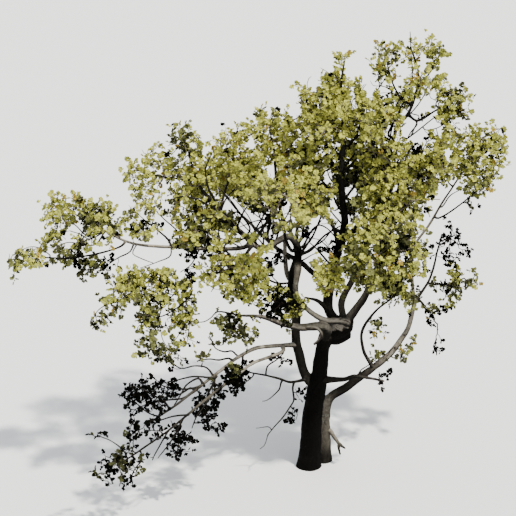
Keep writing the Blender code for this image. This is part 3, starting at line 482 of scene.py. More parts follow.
    Limb("far_string", "far_left_bough", [(-4.08, -0.80, 4.03), (-4.22, -0.80, 4.14),
         (-4.37, -0.82, 4.17), (-4.50, -0.84, 4.13)], 0.01, 0.005),
    Limb("cluster_rise_left", "mid_left_bough", [(-3.41, -0.64, 4.33), (-3.51, -0.64, 4.45),
         (-3.67, -0.66, 4.65), (-3.81, -0.68, 4.78)], 0.012, 0.005),
    Limb("arch_web_one", "left_arch", [(-0.94, -0.14, 4.03), (-0.82, -0.14, 4.23),
         (-0.69, -0.12, 4.42), (-0.60, -0.08, 4.61), (-0.54, -0.04, 4.77)], 0.032, 0.015),
    Limb("arch_web_two", "left_arch", [(-0.91, -0.20, 4.10), (-0.97, -0.20, 4.33),
         (-1.10, -0.20, 4.56), (-1.27, -0.18, 4.77)], 0.014, 0.006),
    Limb("arch_web_three", "left_arch", [(-0.79, -0.10, 3.96), (-0.80, -0.10, 4.21),
         (-0.85, -0.12, 4.45), (-0.97, -0.12, 4.65), (-1.05, -0.12, 4.78)], 0.015, 0.006),
    Limb("arch_web_four", "left_arch", [(-0.59, -0.04, 4.01), (-0.52, -0.02, 4.22),
         (-0.41, -0.02, 4.44), (-0.34, -0.02, 4.64)], 0.018, 0.008),
    Limb("arch_web_five", "arch_web_one", [(-0.72, -0.14, 4.39), (-0.90, -0.16, 4.37),
         (-1.05, -0.18, 4.32), (-1.20, -0.18, 4.26)], 0.012, 0.006),
    Limb("arch_web_six", "left_arch", [(-1.16, -0.22, 4.21), (-1.35, -0.26, 4.38),
         (-1.57, -0.28, 4.47), (-1.78, -0.30, 4.51)], 0.017, 0.006),
    Limb("arch_web_seven", "left_arch", [(-1.23, -0.24, 4.28), (-1.38, -0.26, 4.50),
         (-1.60, -0.26, 4.60), (-1.81, -0.26, 4.66)], 0.014, 0.006),
    Limb("arch_web_eight", "left_arch", [(-0.82, -0.18, 4.02), (-1.01, -0.22, 4.21),
         (-1.16, -0.24, 4.39), (-1.30, -0.24, 4.59)], 0.013, 0.006),
    Limb("arch_web_nine", "arch_web_one", [(-0.63, -0.10, 4.55), (-0.75, -0.10, 4.64),
         (-0.88, -0.10, 4.83)], 0.012, 0.005),
    Limb("arch_web_ten", "mid_left_bough", [(-1.20, -0.26, 3.99), (-1.38, -0.30, 4.10),
         (-1.57, -0.32, 4.14), (-1.76, -0.34, 4.10)], 0.013, 0.006),
    Limb("stem_web_one", "upright_bough", [(-0.46, 0.10, 3.58), (-0.59, 0.04, 3.74),
         (-0.72, 0.00, 3.79), (-0.88, -0.06, 3.78)], 0.012, 0.005),
    Limb("stem_web_two", "left_stem", [(-0.40, -0.06, 3.13), (-0.53, -0.08, 3.27),
         (-0.66, -0.10, 3.42), (-0.75, -0.12, 3.60)], 0.016, 0.006),
    Limb("leader_web_one", "centre_leader", [(0.52, 0.05, 4.04), (0.66, 0.02, 4.19),
         (0.78, 0.00, 4.36), (0.89, 0.00, 4.56)], 0.016, 0.006),
    Limb("leader_web_two", "centre_leader", [(0.48, 0.12, 4.62), (0.60, 0.06, 4.81),
         (0.66, 0.02, 5.05), (0.78, 0.00, 5.22)], 0.014, 0.006),
    Limb("leader_web_three", "centre_leader", [(0.43, 0.10, 4.26), (0.29, 0.04, 4.45),
         (0.22, 0.00, 4.66), (0.09, -0.02, 4.80)], 0.014, 0.006),
]

# Where twigs and leaves grow that no mass stands for: its middle, half its width, depth
# and height, how many sprays, how much light is painted into their colours, and how far its leaves lift
Tuft = namedtuple("Tuft", "place half sprays light lift")

TUFTS = [
    Tuft((-1.99, -0.85, 3.12), (0.13, 0.10, 0.52), 34, 0.64, 0.1),
    Tuft((-0.98, -0.75, 3.42), (0.36, 0.22, 0.20), 14, 0.70, 0.2),
    Tuft((-0.53, -0.40, 3.06), (0.16, 0.14, 0.18), 6, 0.12, 0.1),
    Tuft((-0.25, -0.48, 3.05), (0.15, 0.12, 0.19), 8, 0.70, 0.2),
    Tuft((-2.12, -1.40, 1.14), (0.07, 0.08, 0.34), 18, 0.08, -0.1),
    Tuft((-1.22, -0.60, 1.84), (0.13, 0.12, 0.18), 15, 0.05, 0.0),
    Tuft((2.72, 0.68, 4.60), (0.16, 0.12, 0.18), 10, 0.50, 0.2),
    Tuft((1.38, -0.20, 3.14), (0.34, 0.20, 0.17), 12, 0.42, 0.1),
    Tuft((2.01, 0.62, 2.56), (0.16, 0.12, 0.16), 4, 0.42, 0.1),
    Tuft((1.60, 0.30, 1.90), (0.15, 0.14, 0.17), 7, 0.42, 0.1),
    Tuft((1.18, 0.20, 1.88), (0.09, 0.08, 0.12), 3, 0.42, 0.1),
    Tuft((2.30, 0.74, 3.68), (0.18, 0.16, 0.32), 3, 0.12, 0.1),
    Tuft((1.44, 0.10, 3.90), (0.13, 0.14, 0.28), 14, 0.04, 0.2),
    Tuft((-2.13, -0.28, 4.62), (0.20, 0.16, 0.20), 6, 0.42, 0.3),
    Tuft((-0.14, -0.20, 1.38), (0.05, 0.06, 0.06), 2, 0.12, 0.0),
    Tuft((-0.30, -0.20, 0.93), (0.10, 0.08, 0.10), 3, 0.12, 0.0),
    Tuft((1.12, -0.38, 1.74), (0.12, 0.08, 0.09), 3, 0.12, 0.0),
    Tuft((0.98, -0.12, 2.62), (0.15, 0.12, 0.15), 5, 0.42, 0.1),
    Tuft((-0.52, -0.25, 2.00), (0.05, 0.06, 0.13), 3, 0.12, -0.1),
    Tuft((-2.09, 0.30, 5.56), (0.15, 0.14, 0.25), 14, 0.42, 0.3),
    Tuft((-1.82, 0.20, 5.49), (0.05, 0.06, 0.16), 5, 0.55, 0.4),
    Tuft((2.18, 0.50, 6.22), (0.16, 0.08, 0.08), 11, 0.50, 0.2),
    Tuft((2.23, 0.52, 6.02), (0.08, 0.07, 0.05), 3, 0.30, 0.2),
    Tuft((1.81, 0.46, 5.69), (0.07, 0.06, 0.06), 3, 0.12, 0.1),
    Tuft((2.15, 0.50, 5.86), (0.08, 0.07, 0.07), 4, 0.48, 0.3),
    Tuft((1.62, 0.30, 5.23), (0.06, 0.10, 0.18), 6, 0.12, 0.2),
    Tuft((2.87, 0.60, 5.31), (0.08, 0.07, 0.10), 5, 0.10, 0.1),
    Tuft((2.98, 0.56, 5.65), (0.09, 0.07, 0.06), 4, 0.60, 0.2),
    Tuft((2.52, 0.66, 4.38), (0.05, 0.05, 0.06), 2, 0.30, 0.1),
    Tuft((-3.28, -1.08, 3.10), (0.20, 0.12, 0.13), 9, 0.38, 0.0),
    Tuft((-2.60, -0.80, 3.64), (0.13, 0.10, 0.08), 5, 0.62, 0.2),
    Tuft((-2.31, -0.72, 3.62), (0.09, 0.10, 0.10), 4, 0.60, 0.2),
    Tuft((-2.62, -0.92, 3.42), (0.08, 0.08, 0.07), 4, 0.10, 0.1),
    Tuft((-1.72, -0.86, 2.33), (0.10, 0.07, 0.06), 4, 0.30, 0.2),
    Tuft((-2.07, -1.08, 2.25), (0.05, 0.05, 0.05), 2, 0.16, 0.1),
    Tuft((-2.33, -1.20, 2.51), (0.05, 0.05, 0.05), 2, 0.30, 0.1),
    Tuft((-1.62, -0.66, 2.58), (0.04, 0.04, 0.05), 1, 0.30, 0.1),
    Tuft((0.59, 0.40, 4.90), (0.24, 0.34, 0.66), 70, 0.66, 0.3),
    Tuft((-0.21, 0.60, 5.14), (0.34, 0.28, 0.26), 8, 0.12, 0.3),
    Tuft((-0.82, 0.30, 4.63), (0.30, 0.24, 0.22), 8, 0.14, 0.2),
    Tuft((0.94, 0.50, 5.34), (0.26, 0.26, 0.30), 7, 0.10, 0.3),
    Tuft((-4.63, -0.88, 3.83), (0.06, 0.06, 0.04), 2, 0.38, 0.1),
    Tuft((-4.56, -0.87, 3.94), (0.10, 0.08, 0.10), 4, 0.50, 0.1),
    Tuft((-4.30, -0.86, 4.18), (0.06, 0.06, 0.05), 2, 0.62, 0.1),
    Tuft((-4.08, -0.80, 4.31), (0.14, 0.10, 0.10), 5, 0.58, 0.2),
    Tuft((-3.97, -0.78, 4.15), (0.12, 0.10, 0.10), 5, 0.45, 0.2),
    Tuft((-3.75, -0.76, 3.93), (0.16, 0.10, 0.07), 6, 0.10, 0.0),
    Tuft((-3.99, -0.72, 4.79), (0.09, 0.08, 0.12), 6, 0.80, 0.2),
    Tuft((-3.75, -0.68, 4.75), (0.13, 0.10, 0.12), 7, 0.70, 0.3),
    Tuft((-3.60, -0.60, 4.87), (0.07, 0.07, 0.08), 4, 0.66, 0.3),
    Tuft((-3.29, -0.62, 3.75), (0.12, 0.08, 0.14), 8, 0.10, 0.0),
    Tuft((-3.07, -0.64, 4.30), (0.07, 0.06, 0.06), 3, 0.45, 0.2),
    Tuft((-2.81, -0.45, 4.58), (0.11, 0.08, 0.06), 5, 0.45, 0.2),
    Tuft((-2.72, -0.16, 4.76), (0.16, 0.09, 0.06), 5, 0.55, 0.3),
    Tuft((-2.65, -0.45, 4.32), (0.09, 0.08, 0.07), 4, 0.12, 0.1),
    Tuft((-2.52, -0.20, 4.61), (0.04, 0.05, 0.05), 2, 0.40, 0.2),
    Tuft((-2.49, -0.94, 3.11), (0.10, 0.08, 0.05), 4, 0.52, 0.0),
    Tuft((-1.87, -0.30, 4.23), (0.26, 0.20, 0.20), 8, 0.48, 0.2),
    Tuft((-1.95, -0.45, 3.57), (0.07, 0.07, 0.16), 5, 0.12, 0.0),
    Tuft((0.98, 0.42, 6.96), (0.05, 0.05, 0.10), 2, 0.50, 0.4),
    Tuft((0.99, 0.42, 6.66), (0.08, 0.08, 0.14), 6, 0.55, 0.4),
    Tuft((1.82, 0.42, 6.74), (0.09, 0.08, 0.05), 4, 0.52, 0.4),
    Tuft((1.92, 0.42, 6.95), (0.08, 0.07, 0.13), 6, 0.55, 0.4),
    Tuft((0.37, 0.10, 6.90), (0.05, 0.06, 0.10), 4, 0.66, 0.5),
    Tuft((0.32, 0.12, 6.56), (0.15, 0.12, 0.10), 7, 0.80, 0.4),
    Tuft((0.72, 0.18, 6.23), (0.07, 0.08, 0.11), 6, 0.60, 0.4),
    Tuft((-0.86, 0.55, 5.85), (0.05, 0.06, 0.06), 3, 0.60, 0.4),
    Tuft((-0.67, 0.50, 5.81), (0.06, 0.07, 0.07), 4, 0.60, 0.4),
    Tuft((-0.44, 0.45, 5.89), (0.06, 0.07, 0.06), 3, 0.60, 0.4),
    Tuft((-1.17, 0.60, 5.72), (0.05, 0.06, 0.08), 3, 0.60, 0.4),
    Tuft((-2.78, -1.85, 2.18), (0.12, 0.10, 0.12), 6, 0.12, 0.0),
    Tuft((-2.51, -1.66, 2.08), (0.12, 0.10, 0.10), 5, 0.10, 0.0),
    Tuft((-2.24, -1.36, 2.04), (0.13, 0.10, 0.10), 6, 0.10, 0.0),
    Tuft((-3.24, -2.30, 1.68), (0.07, 0.05, 0.05), 2, 0.14, 0.0),
    Tuft((-2.50, -1.92, 1.18), (0.06, 0.05, 0.08), 3, 0.10, -0.2),
    Tuft((0.07, -0.05, 4.31), (0.24, 0.18, 0.18), 12, 0.34, 0.2),
    Tuft((0.21, 0.00, 3.83), (0.18, 0.14, 0.14), 6, 0.12, 0.1),
    Tuft((0.62, 0.10, 3.96), (0.14, 0.14, 0.20), 7, 0.12, 0.2),
    Tuft((-0.82, 0.00, 4.23), (0.26, 0.20, 0.16), 12, 0.14, 0.1),
    Tuft((1.36, -0.15, 3.17), (0.32, 0.16, 0.13), 18, 0.26, 0.1),
    Tuft((-3.35, -0.62, 4.60), (0.22, 0.16, 0.17), 20, 0.42, 0.3),
    Tuft((-2.90, -0.95, 3.53), (0.22, 0.16, 0.20), 30, 0.98, 0.1),
    Tuft((-3.19, -1.05, 3.35), (0.10, 0.10, 0.12), 6, 0.58, 0.0),
    Tuft((-2.17, -0.10, 4.53), (0.18, 0.16, 0.22), 12, 0.60, 0.2),
    Tuft((-0.07, -0.02, 4.10), (0.08, 0.06, 0.06), 4, 0.10, 0.1),
    Tuft((0.20, -0.05, 4.25), (0.09, 0.06, 0.05), 3, 0.14, 0.1),
    Tuft((0.13, -0.02, 4.59), (0.10, 0.10, 0.10), 4, 0.30, 0.2),
    Tuft((-1.45, -0.24, 4.31), (0.20, 0.12, 0.10), 8, 0.46, 0.2),
    Tuft((2.34, 0.60, 2.91), (0.14, 0.10, 0.14), 9, 0.42, 0.1),
    Tuft((2.24, 0.60, 3.01), (0.08, 0.06, 0.06), 1, 0.10, 0.1),
    Tuft((2.19, 0.70, 3.85), (0.06, 0.06, 0.10), 1, 0.12, 0.1),
    Tuft((1.92, 0.66, 3.57), (0.09, 0.06, 0.05), 1, 0.08, 0.1),
    Tuft((2.35, 0.70, 3.40), (0.05, 0.05, 0.04), 1, 0.08, 0.0),
    Tuft((2.57, 0.70, 3.51), (0.04, 0.04, 0.03), 1, 0.10, 0.0),
    Tuft((1.83, 0.64, 3.33), (0.04, 0.04, 0.03), 1, 0.10, 0.0),
    Tuft((2.69, 0.70, 3.13), (0.03, 0.04, 0.07), 2, 0.44, 0.0),
    Tuft((1.99, 0.60, 2.49), (0.04, 0.04, 0.03), 2, 0.08, -0.1),
    Tuft((2.22, 0.64, 2.50), (0.03, 0.03, 0.03), 1, 0.08, -0.1),
    Tuft((2.14, 0.60, 2.20), (0.03, 0.03, 0.03), 1, 0.08, -0.1),
    Tuft((2.09, 0.50, 1.86), (0.06, 0.04, 0.03), 2, 0.08, -0.1),
    Tuft((-3.90, -0.70, 4.72), (0.09, 0.06, 0.08), 5, 0.66, 0.2),
    Tuft((-4.04, -0.72, 4.31), (0.08, 0.06, 0.05), 4, 0.50, 0.1),
    Tuft((1.55, 0.46, 5.78), (0.05, 0.06, 0.08), 3, 0.10, 0.2),
    Tuft((1.74, 0.48, 5.87), (0.05, 0.05, 0.04), 2, 0.10, 0.1),
    Tuft((1.38, 0.44, 6.20), (0.10, 0.08, 0.20), 8, 0.30, 0.3),
    Tuft((1.85, 0.44, 6.83), (0.06, 0.05, 0.14), 6, 0.60, 0.3),
    Tuft((1.90, 0.46, 6.48), (0.08, 0.06, 0.08), 5, 0.48, 0.2),
    Tuft((1.17, 0.42, 6.88), (0.06, 0.05, 0.10), 3, 0.55, 0.4),
    Tuft((-0.80, -0.14, 4.56), (0.10, 0.06, 0.08), 3, 0.16, 0.2),
    Tuft((-0.68, -0.12, 4.20), (0.05, 0.05, 0.10), 2, 0.10, 0.1),
    Tuft((-1.16, -0.24, 4.43), (0.08, 0.06, 0.08), 3, 0.34, 0.2),
    Tuft((-1.38, -0.24, 4.74), (0.12, 0.10, 0.08), 5, 0.60, 0.2),
    Tuft((-0.44, 0.00, 4.56), (0.12, 0.10, 0.10), 5, 0.40, 0.2),
    Tuft((-0.22, 0.00, 4.43), (0.10, 0.10, 0.12), 5, 0.24, 0.2),
    Tuft((-1.29, -0.50, 2.63), (0.18, 0.12, 0.14), 8, 0.46, 0.1),
    Tuft((-1.45, -0.55, 2.88), (0.14, 0.10, 0.10), 4, 0.50, 0.1),
    Tuft((1.81, 0.55, 2.71), (0.12, 0.08, 0.14), 2, 0.22, 0.1),
    Tuft((1.37, 0.30, 4.33), (0.14, 0.12, 0.20), 8, 0.40, 0.2),
    Tuft((1.45, 0.30, 4.63), (0.14, 0.12, 0.16), 8, 0.52, 0.2),
    Tuft((1.82, 0.45, 4.69), (0.16, 0.10, 0.12), 7, 0.46, 0.2),
    Tuft((0.87, 0.00, 4.13), (0.14, 0.10, 0.20), 6, 0.22, 0.2),
    Tuft((-2.68, -0.85, 3.69), (0.24, 0.12, 0.06), 8, 0.66, 0.2),
    Tuft((-2.40, -0.80, 3.35), (0.20, 0.14, 0.12), 6, 0.26, 0.1),
    Tuft((-2.23, -0.70, 3.04), (0.06, 0.06, 0.20), 6, 0.40, 0.0),
    Tuft((-2.56, -0.85, 3.00), (0.16, 0.12, 0.14), 6, 0.30, 0.0),
    Tuft((-3.87, -0.78, 3.91), (0.22, 0.10, 0.06), 6, 0.34, 0.1),
    Tuft((-3.53, -0.70, 4.14), (0.14, 0.10, 0.08), 5, 0.36, 0.1),
    Tuft((-3.31, -0.60, 4.50), (0.14, 0.12, 0.16), 8, 0.34, 0.2),
    Tuft((-1.21, -1.30, 2.19), (0.13, 0.08, 0.18), 9, 0.08, -0.1),
    Tuft((2.22, -0.20, 4.21), (0.10, 0.06, 0.07), 4, 0.06, 0.1),
    Tuft((2.11, -0.20, 3.78), (0.07, 0.06, 0.08), 3, 0.08, 0.0),
    Tuft((-1.28, -1.30, 2.29), (0.06, 0.06, 0.08), 3, 0.30, 0.0),
    Tuft((-0.72, -0.55, 3.72), (0.07, 0.07, 0.16), 4, 0.05, 0.0),
    Tuft((-0.58, -0.55, 3.92), (0.05, 0.05, 0.10), 2, 0.06, 0.2),
    Tuft((-0.60, -0.80, 3.25), (0.10, 0.07, 0.13), 7, 0.07, 0.0),
    Tuft((-0.35, -0.85, 3.17), (0.06, 0.05, 0.10), 3, 0.10, 0.0),
    Tuft((-0.49, -0.80, 2.87), (0.06, 0.05, 0.05), 2, 0.30, -0.1),
]

# Where the sky shows through the crown: how far right of the view's middle and above
# it, half its width and half its height, and how far its long axis leans
Window = namedtuple("Window", "right up wide tall lean")

WINDOWS = [
    Window(0.22, 1.37, 0.09, 0.12, 0.0),
    Window(-0.38, 0.86, 0.09, 0.25, 0.8),
    Window(0.47, 0.77, 0.07, 0.22, 0.0),
    Window(1.11, 1.29, 0.08, 0.12, 0.0),
    Window(1.49, 1.06, 0.09, 0.13, 0.0),
    Window(1.00, 0.42, 0.17, 0.26, 0.3),
    Window(2.51, 2.03, 0.20, 0.18, 0.0),
    Window(-0.11, 1.82, 0.07, 0.10, 0.0),
    Window(2.11, 2.03, 0.07, 0.13, 0.0),
    Window(1.52, 2.56, 0.05, 0.20, 0.0),
    Window(-1.75, -0.06, 0.50, 0.07, 0.0),
    Window(0.79, -0.35, 0.09, 0.26, 0.0),
    Window(0.95, -0.80, 0.10, 0.13, 0.0),
    Window(0.60, 2.42, 0.08, 0.26, 0.0),
    Window(-0.85, 1.73, 0.06, 0.10, 0.0),
    Window(3.05, 1.68, 0.08, 0.11, 0.0),
    Window(-0.26, 0.16, 0.28, 0.10, 0.0),
    Window(-0.06, 0.56, 0.19, 0.17, 0.0),
    Window(-2.91, 0.48, 0.12, 0.09, 0.0),
    Window(-3.07, 0.29, 0.12, 0.07, 0.0),
    Window(2.64, 3.14, 0.08, 0.15, 0.0),
    Window(2.40, 2.96, 0.09, 0.08, 0.0),
    Window(2.21, 2.80, 0.09, 0.05, 0.0),
    Window(2.72, 2.50, 0.14, 0.09, 0.0),
    Window(2.85, 2.11, 0.16, 0.10, -0.9),
    Window(2.02, 2.66, 0.05, 0.16, 0.0),
    Window(1.82, 2.72, 0.06, 0.20, 0.0),
    Window(0.56, -0.37, 0.11, 0.24, 0.0),
    Window(-1.20, -2.34, 0.20, 0.10, 0.0),
    Window(-1.73, -3.02, 0.26, 0.10, -0.8),
    Window(2.67, -0.46, 0.10, 0.16, 0.0),
    Window(2.85, -0.16, 0.14, 0.10, 0.0),
    Window(3.39, -0.61, 0.12, 0.14, 0.0),
    Window(-3.68, 0.19, 0.10, 0.06, 0.0),
    Window(-2.05, 0.85, 0.07, 0.08, 0.0),
    Window(1.73, 2.78, 0.09, 0.13, 0.0),
    Window(1.06, 3.07, 0.10, 0.09, 0.0),
    Window(2.21, 1.12, 0.05, 0.12, -0.6),
    Window(2.02, 0.58, 0.05, 0.10, -0.6),
    Window(2.30, 0.00, 0.06, 0.08, -0.6),
    Window(1.82, -0.06, 0.05, 0.06, 0.0),
    Window(0.90, 2.85, 0.12, 0.14, 0.0),
    Window(1.15, 3.20, 0.08, 0.08, 0.0),
]

# Where the crown's sprays get painted deep shade in their colours, given like the windows
SHADES = [
    Window(-0.13, 0.32, 0.24, 0.12, 0.0),
    Window(0.06, 0.74, 0.16, 0.10, 0.0),
    Window(2.30, 0.22, 0.14, 0.26, 0.0),
    Window(1.41, 1.12, 0.18, 0.52, 0.0),
    Window(0.29, -0.74, 0.17, 0.17, 0.0),
    Window(-0.99, 0.10, 0.20, 0.10, 0.0),
    Window(1.25, 0.35, 0.14, 0.26, 0.0),
    Window(0.67, 0.24, 0.10, 0.10, 0.0),
    Window(2.59, 1.73, 0.08, 0.22, 0.0),
    Window(0.38, 0.99, 0.10, 0.14, 0.0),
]

# How each mass of leaves is filled: the sprays' spacing, how much light is painted into
# its colours from 0 to 1, how far its leaves lift, and how much of it is left open between its sprays
Fill = namedtuple("Fill", "spacing light lift open")

FILLS = {
    "far_left_leaves": Fill(0.145, 0.56, 0.1, 0.42),
    "left_cluster_leaves": Fill(0.156, 0.60, 0.3, 0.30),
    "left_under_leaves": Fill(0.160, 0.36, 0.0, 0.46),
    "left_mid_leaves": Fill(0.150, 0.66, 0.3, 0.24),
    "left_arc_leaves": Fill(0.155, 0.82, 0.4, 0.26),
    "upper_left_leaves": Fill(0.142, 1.08, 0.5, 0.12),
    "left_inner_leaves": Fill(0.130, 0.56, 0.2, 0.12),
    "left_shelf_leaves": Fill(0.160, 0.60, 0.0, 0.32),
    "left_hanging_leaves": Fill(0.158, 0.42, -0.3, 0.36),
    "centre_left_leaves": Fill(0.128, 1.00, 0.2, 0.08),
    "inner_left_leaves": Fill(0.130, 0.44, 0.2, 0.12),
    "front_left_leaves": Fill(0.135, 0.36, 0.0, 0.36),
    "low_left_leaves": Fill(0.178, 0.10, 0.0, 0.42),
    "low_under_leaves": Fill(0.155, 0.12, -0.1, 0.40),
    "low_end_leaves": Fill(0.135, 0.18, -0.2, 0.38),
    "low_hanging_leaves": Fill(0.135, 0.10, -0.4, 0.34),
    "upper_mid_leaves": Fill(0.150, 1.28, 0.5, 0.12),
    "upper_back_leaves": Fill(0.150, 1.12, 0.5, 0.16),
    "upper_front_leaves": Fill(0.142, 1.15, 0.4, 0.10),
    "centre_leaves": Fill(0.145, 0.62, 0.3, 0.10),
    "front_leaves": Fill(0.170, 0.68, 0.3, 0.30),
    "centre_top_leaves": Fill(0.140, 1.20, 0.6, 0.08),
    "right_top_leaves": Fill(0.145, 0.98, 0.5, 0.10),
    "top_leaves": Fill(0.170, 0.84, 0.6, 0.34),
    "top_right_leaves": Fill(0.128, 0.74, 0.4, 0.12),
    "front_centre_leaves": Fill(0.125, 0.74, 0.2, 0.08),
    "right_leaves": Fill(0.145, 0.70, 0.4, 0.10),
    "front_right_leaves": Fill(0.134, 0.58, 0.2, 0.10),
    "right_upper_leaves": Fill(0.125, 0.84, 0.5, 0.14),
    "right_end_leaves": Fill(0.128, 0.78, 0.4, 0.20),
    "right_low_leaves": Fill(0.146, 0.50, 0.0, 0.52),
    "back_left_leaves": Fill(0.180, 0.62, 0.3, 0.25),
    "back_leaves": Fill(0.180, 0.62, 0.3, 0.25),
    "back_right_leaves": Fill(0.180, 0.62, 0.3, 0.25),
}

# Leaf colours as linear red, green and blue, painted from the deepest shade to full sun, and
# the painted light up to which each is used. Gold is a few sprays anywhere in the light.
TINTS = {
    "deep": (0.0022, 0.0025, 0.0016),
    "green": (0.043, 0.045, 0.015),
    "olive": (0.136, 0.142, 0.040),
    "lime": (0.294, 0.304, 0.060),
    "yellow": (0.388, 0.390, 0.070),
    "gold": (0.300, 0.215, 0.030),
}
TINT_TOPS = (0.20, 0.36, 0.52, 0.74)
GOLD = 0.025
# How much lighter the painted light makes a mass towards the sun, and how unevenly
SUNNY_SIDE = 0.50
UNEVEN = 0.26
# How much of its painted light a spray keeps in painted deep shade
SHADE = 0.38
# How often a leaf takes its own spray's colour
SAME_TINT = 0.62

# Wood: the step along a limb's path, the fine steps between two of its listed points, how
# many of its parent's radii a limb starts below the nearest point, and how much of its
# parent's radius its foot has at most
LIMB_STEP = 0.045
FINE_STEPS = 40
SET_BACK = 1.3
THICKEST_FOOT = 0.88
# A limb's own small bends: their size, what its radius adds, and how close together
WOBBLE = 0.010
WOBBLE_SHARE = 0.18
WOBBLE_PACE = 3.1
# How much a limb swells where it leaves its parent, and over how many of its radii
COLLAR = 0.45
COLLAR_LENGTH = 1.6
# The trunk's skin, and the sides of a limb
VOXEL = 0.0118
TRUNK_SIDES = 24
BOUGH_SIDES = 12
BRANCH_SIDES = 8
# Twigs start from wood thinner than this, at every fourth point, and not from these limbs
THICKEST_BEARER = 0.075
BEARS_EVERY = 4
BARE_LIMBS = ("trunk", "fused_stem", "elbow_ridge")

# Twigs: the step along one, the thinnest radius, and the power by which radii add up
TWIG_STEP = 0.05
TIP_RADIUS = 0.0060
PIPE = 2.35
# What a turn, and a metre back to the limb, cost a twig beside its own length
TURN_COST = 0.55
RUN_COST = 0.08
# How a twig leaves and arrives: shares of its parent's way and of the straight way, how
# uneven each is, and how far the bend reaches as a share of the length
LEAVE_PARENT = 0.45
STRAIGHT = 0.80
LEAVE_UNEVEN = 0.16
ARRIVE_UNEVEN = 0.12
LEAVE_REACH = 0.36
ARRIVE_REACH = 0.34
KINK = 0.012
# A twig's radius at its foot and tip beside the one next to it, the most of its parent's
# radius that it has, and the radii below which it has three sides and four
TWIG_FOOT = 1.25
TWIG_TIP = 0.6
TWIG_SHARE = 0.8
THREE_SIDED = 0.0085
FOUR_SIDED = 0.013
# Side shoots to each twig, how many of them are left out, their least length with what
# chance adds, and how much of their way goes on, aside and up
SIDE_SHOOTS = 1
SHOOTS_LEFT_OUT = 0.25
SHOOT_LENGTH = (0.10, 0.09)
SHOOT_WAY = 0.55
SHOOT_ASIDE = 0.8
SHOOT_LIFT = 0.3
# The share of twigs that bear no leaves of their own
BARE_SHARE = 0.08

# Leaves: their step along a twig, the stretch that bears them, their length and shapes.
# A pair of numbers is the least and what chance adds.
LEAF_STEP = 0.062
LEAF_STEPS = (0.75, 0.5)
LEAFY = 0.18
LEAFY_SHARE = 0.92
LEAF_LENGTH = 0.116
LEAF_SIZES = (0.78, 0.40)
LEAF_VARIANTS = 6
# The turn from one leaf to the next, and how much of its way goes out, on and up
LEAF_TURN = 2.4
LEAF_TURN_UNEVEN = 0.25
LEAF_OUT = 0.85
LEAF_SIDEWAYS = 0.75
LEAF_ON = (0.40, 0.35)
LEAF_UP = 0.10
LEAF_LIFT = 0.25
LEAF_WAY_UNEVEN = 0.14
# Which way leaves face: up, away from the crown's middle, and unevenly
CROWN_MIDDLE = np.array((-0.4, 0.1, 4.2))
CROWN_SHAPE = (1.0, 1.0, 0.5)
FACE_UP = 0.45
FACE_OUT = 0.60
FACE_UNEVEN = 0.62
# How much of a leaf is looked at for a window and for the box, and the lowest a leaf starts
LEAF_MIDDLE = 0.6
LEAF_REACH = 1.05
LOWEST_LEAF = 0.2
# A leaflet's outline, with its length and its width as 1, and its faces
LEAFLET = [(0.0, 0.0), (0.20, 0.40), (0.70, 0.48), (1.0, 0.0), (0.70, -0.48), (0.20, -0.40)]
LEAFLET_FACES = [(0, 2, 1), (0, 3, 2), (0, 4, 3), (0, 5, 4)]
# Where on the leaf each pair of leaflets is, how far it turns out, and where the end one is
LEAFLET_PAIRS = [(0.24, 74), (0.46, 50)]
END_LEAFLET = 0.52
LEAFLETS_MISSING = 0.12
LEAFLET_LENGTH = 0.44
LEAFLET_LENGTHS = (0.88, 0.24)
LEAFLET_WIDTHS = (0.90, 0.16)
LEAFLET_TURN_UNEVEN = 9
LEAFLET_ROLL = 0.55
LEAFLET_DIP = (-0.15, -0.30)
LEAFLET_FOLD = 0.34
# The leaf's rib: its points along the leaf, half its width, and how far it droops
RIB = (0.0, 0.28, 0.54)
RIB_WIDTH = np.array((0, 0.010, 0))
RIB_DROOP = 0.20
RIB_FACES = [(0, 1, 2), (1, 3, 2), (2, 3, 4), (3, 5, 4)]
# How far outside a mass its sprays may end, how far in they are at their thickest, the
# size of the gaps between them, and where the pattern of gaps starts
EDGE = 0.04
FULL = 0.13
GAP_SIZE = 0.26
GAP_SHIFT = Vector((7.0, 0.0, 0.0))
# Tries at placing a spray, for each spray's own space
TRIES = 14
# How near a tuft's middle its sprays keep, from 0 for all at its edge
TUFT_POWER = 0.4
# How far outside the CAD's box leaves may reach
BOX_SLACK = 0.01

# Bark, from the almost black painted shade of the trunk to the grey tan of the boughs in
# painted light, and the near black painted shade in its furrows
SHADED_BARK = (0.0016, 0.0014, 0.0011)
LIT_BARK = (0.330, 0.298, 0.245)
FURROW_SHADE = (0.0014, 0.0011, 0.0009)
LICHEN = (0.26, 0.255, 0.205)
# Twigs: one copy of their colour in painted shade, and one in painted sunlight
SHADED_TWIG = (0.010, 0.0075, 0.0055)
SUNNY_TWIG = (0.120, 0.098, 0.078)
# How a grown part looks: its roughness and shine, and its patches' scale and tones
Look = namedtuple("Look", "roughness shine patches darkest lightest")

LEAF_LOOK = Look(0.6, 0.16, 17.0, 0.72, 1.22)
TWIG_LOOK = Look(0.9, 0.05, 21.0, 0.6, 1.5)
PATCH_EDGES = (0.32, 0.68)
# Leaves darker than this in their green are less shiny
DULL_BELOW = 0.1
# The painted light from which a twig gets the sunlit copy of its colour
SUNNY_FROM = 0.62
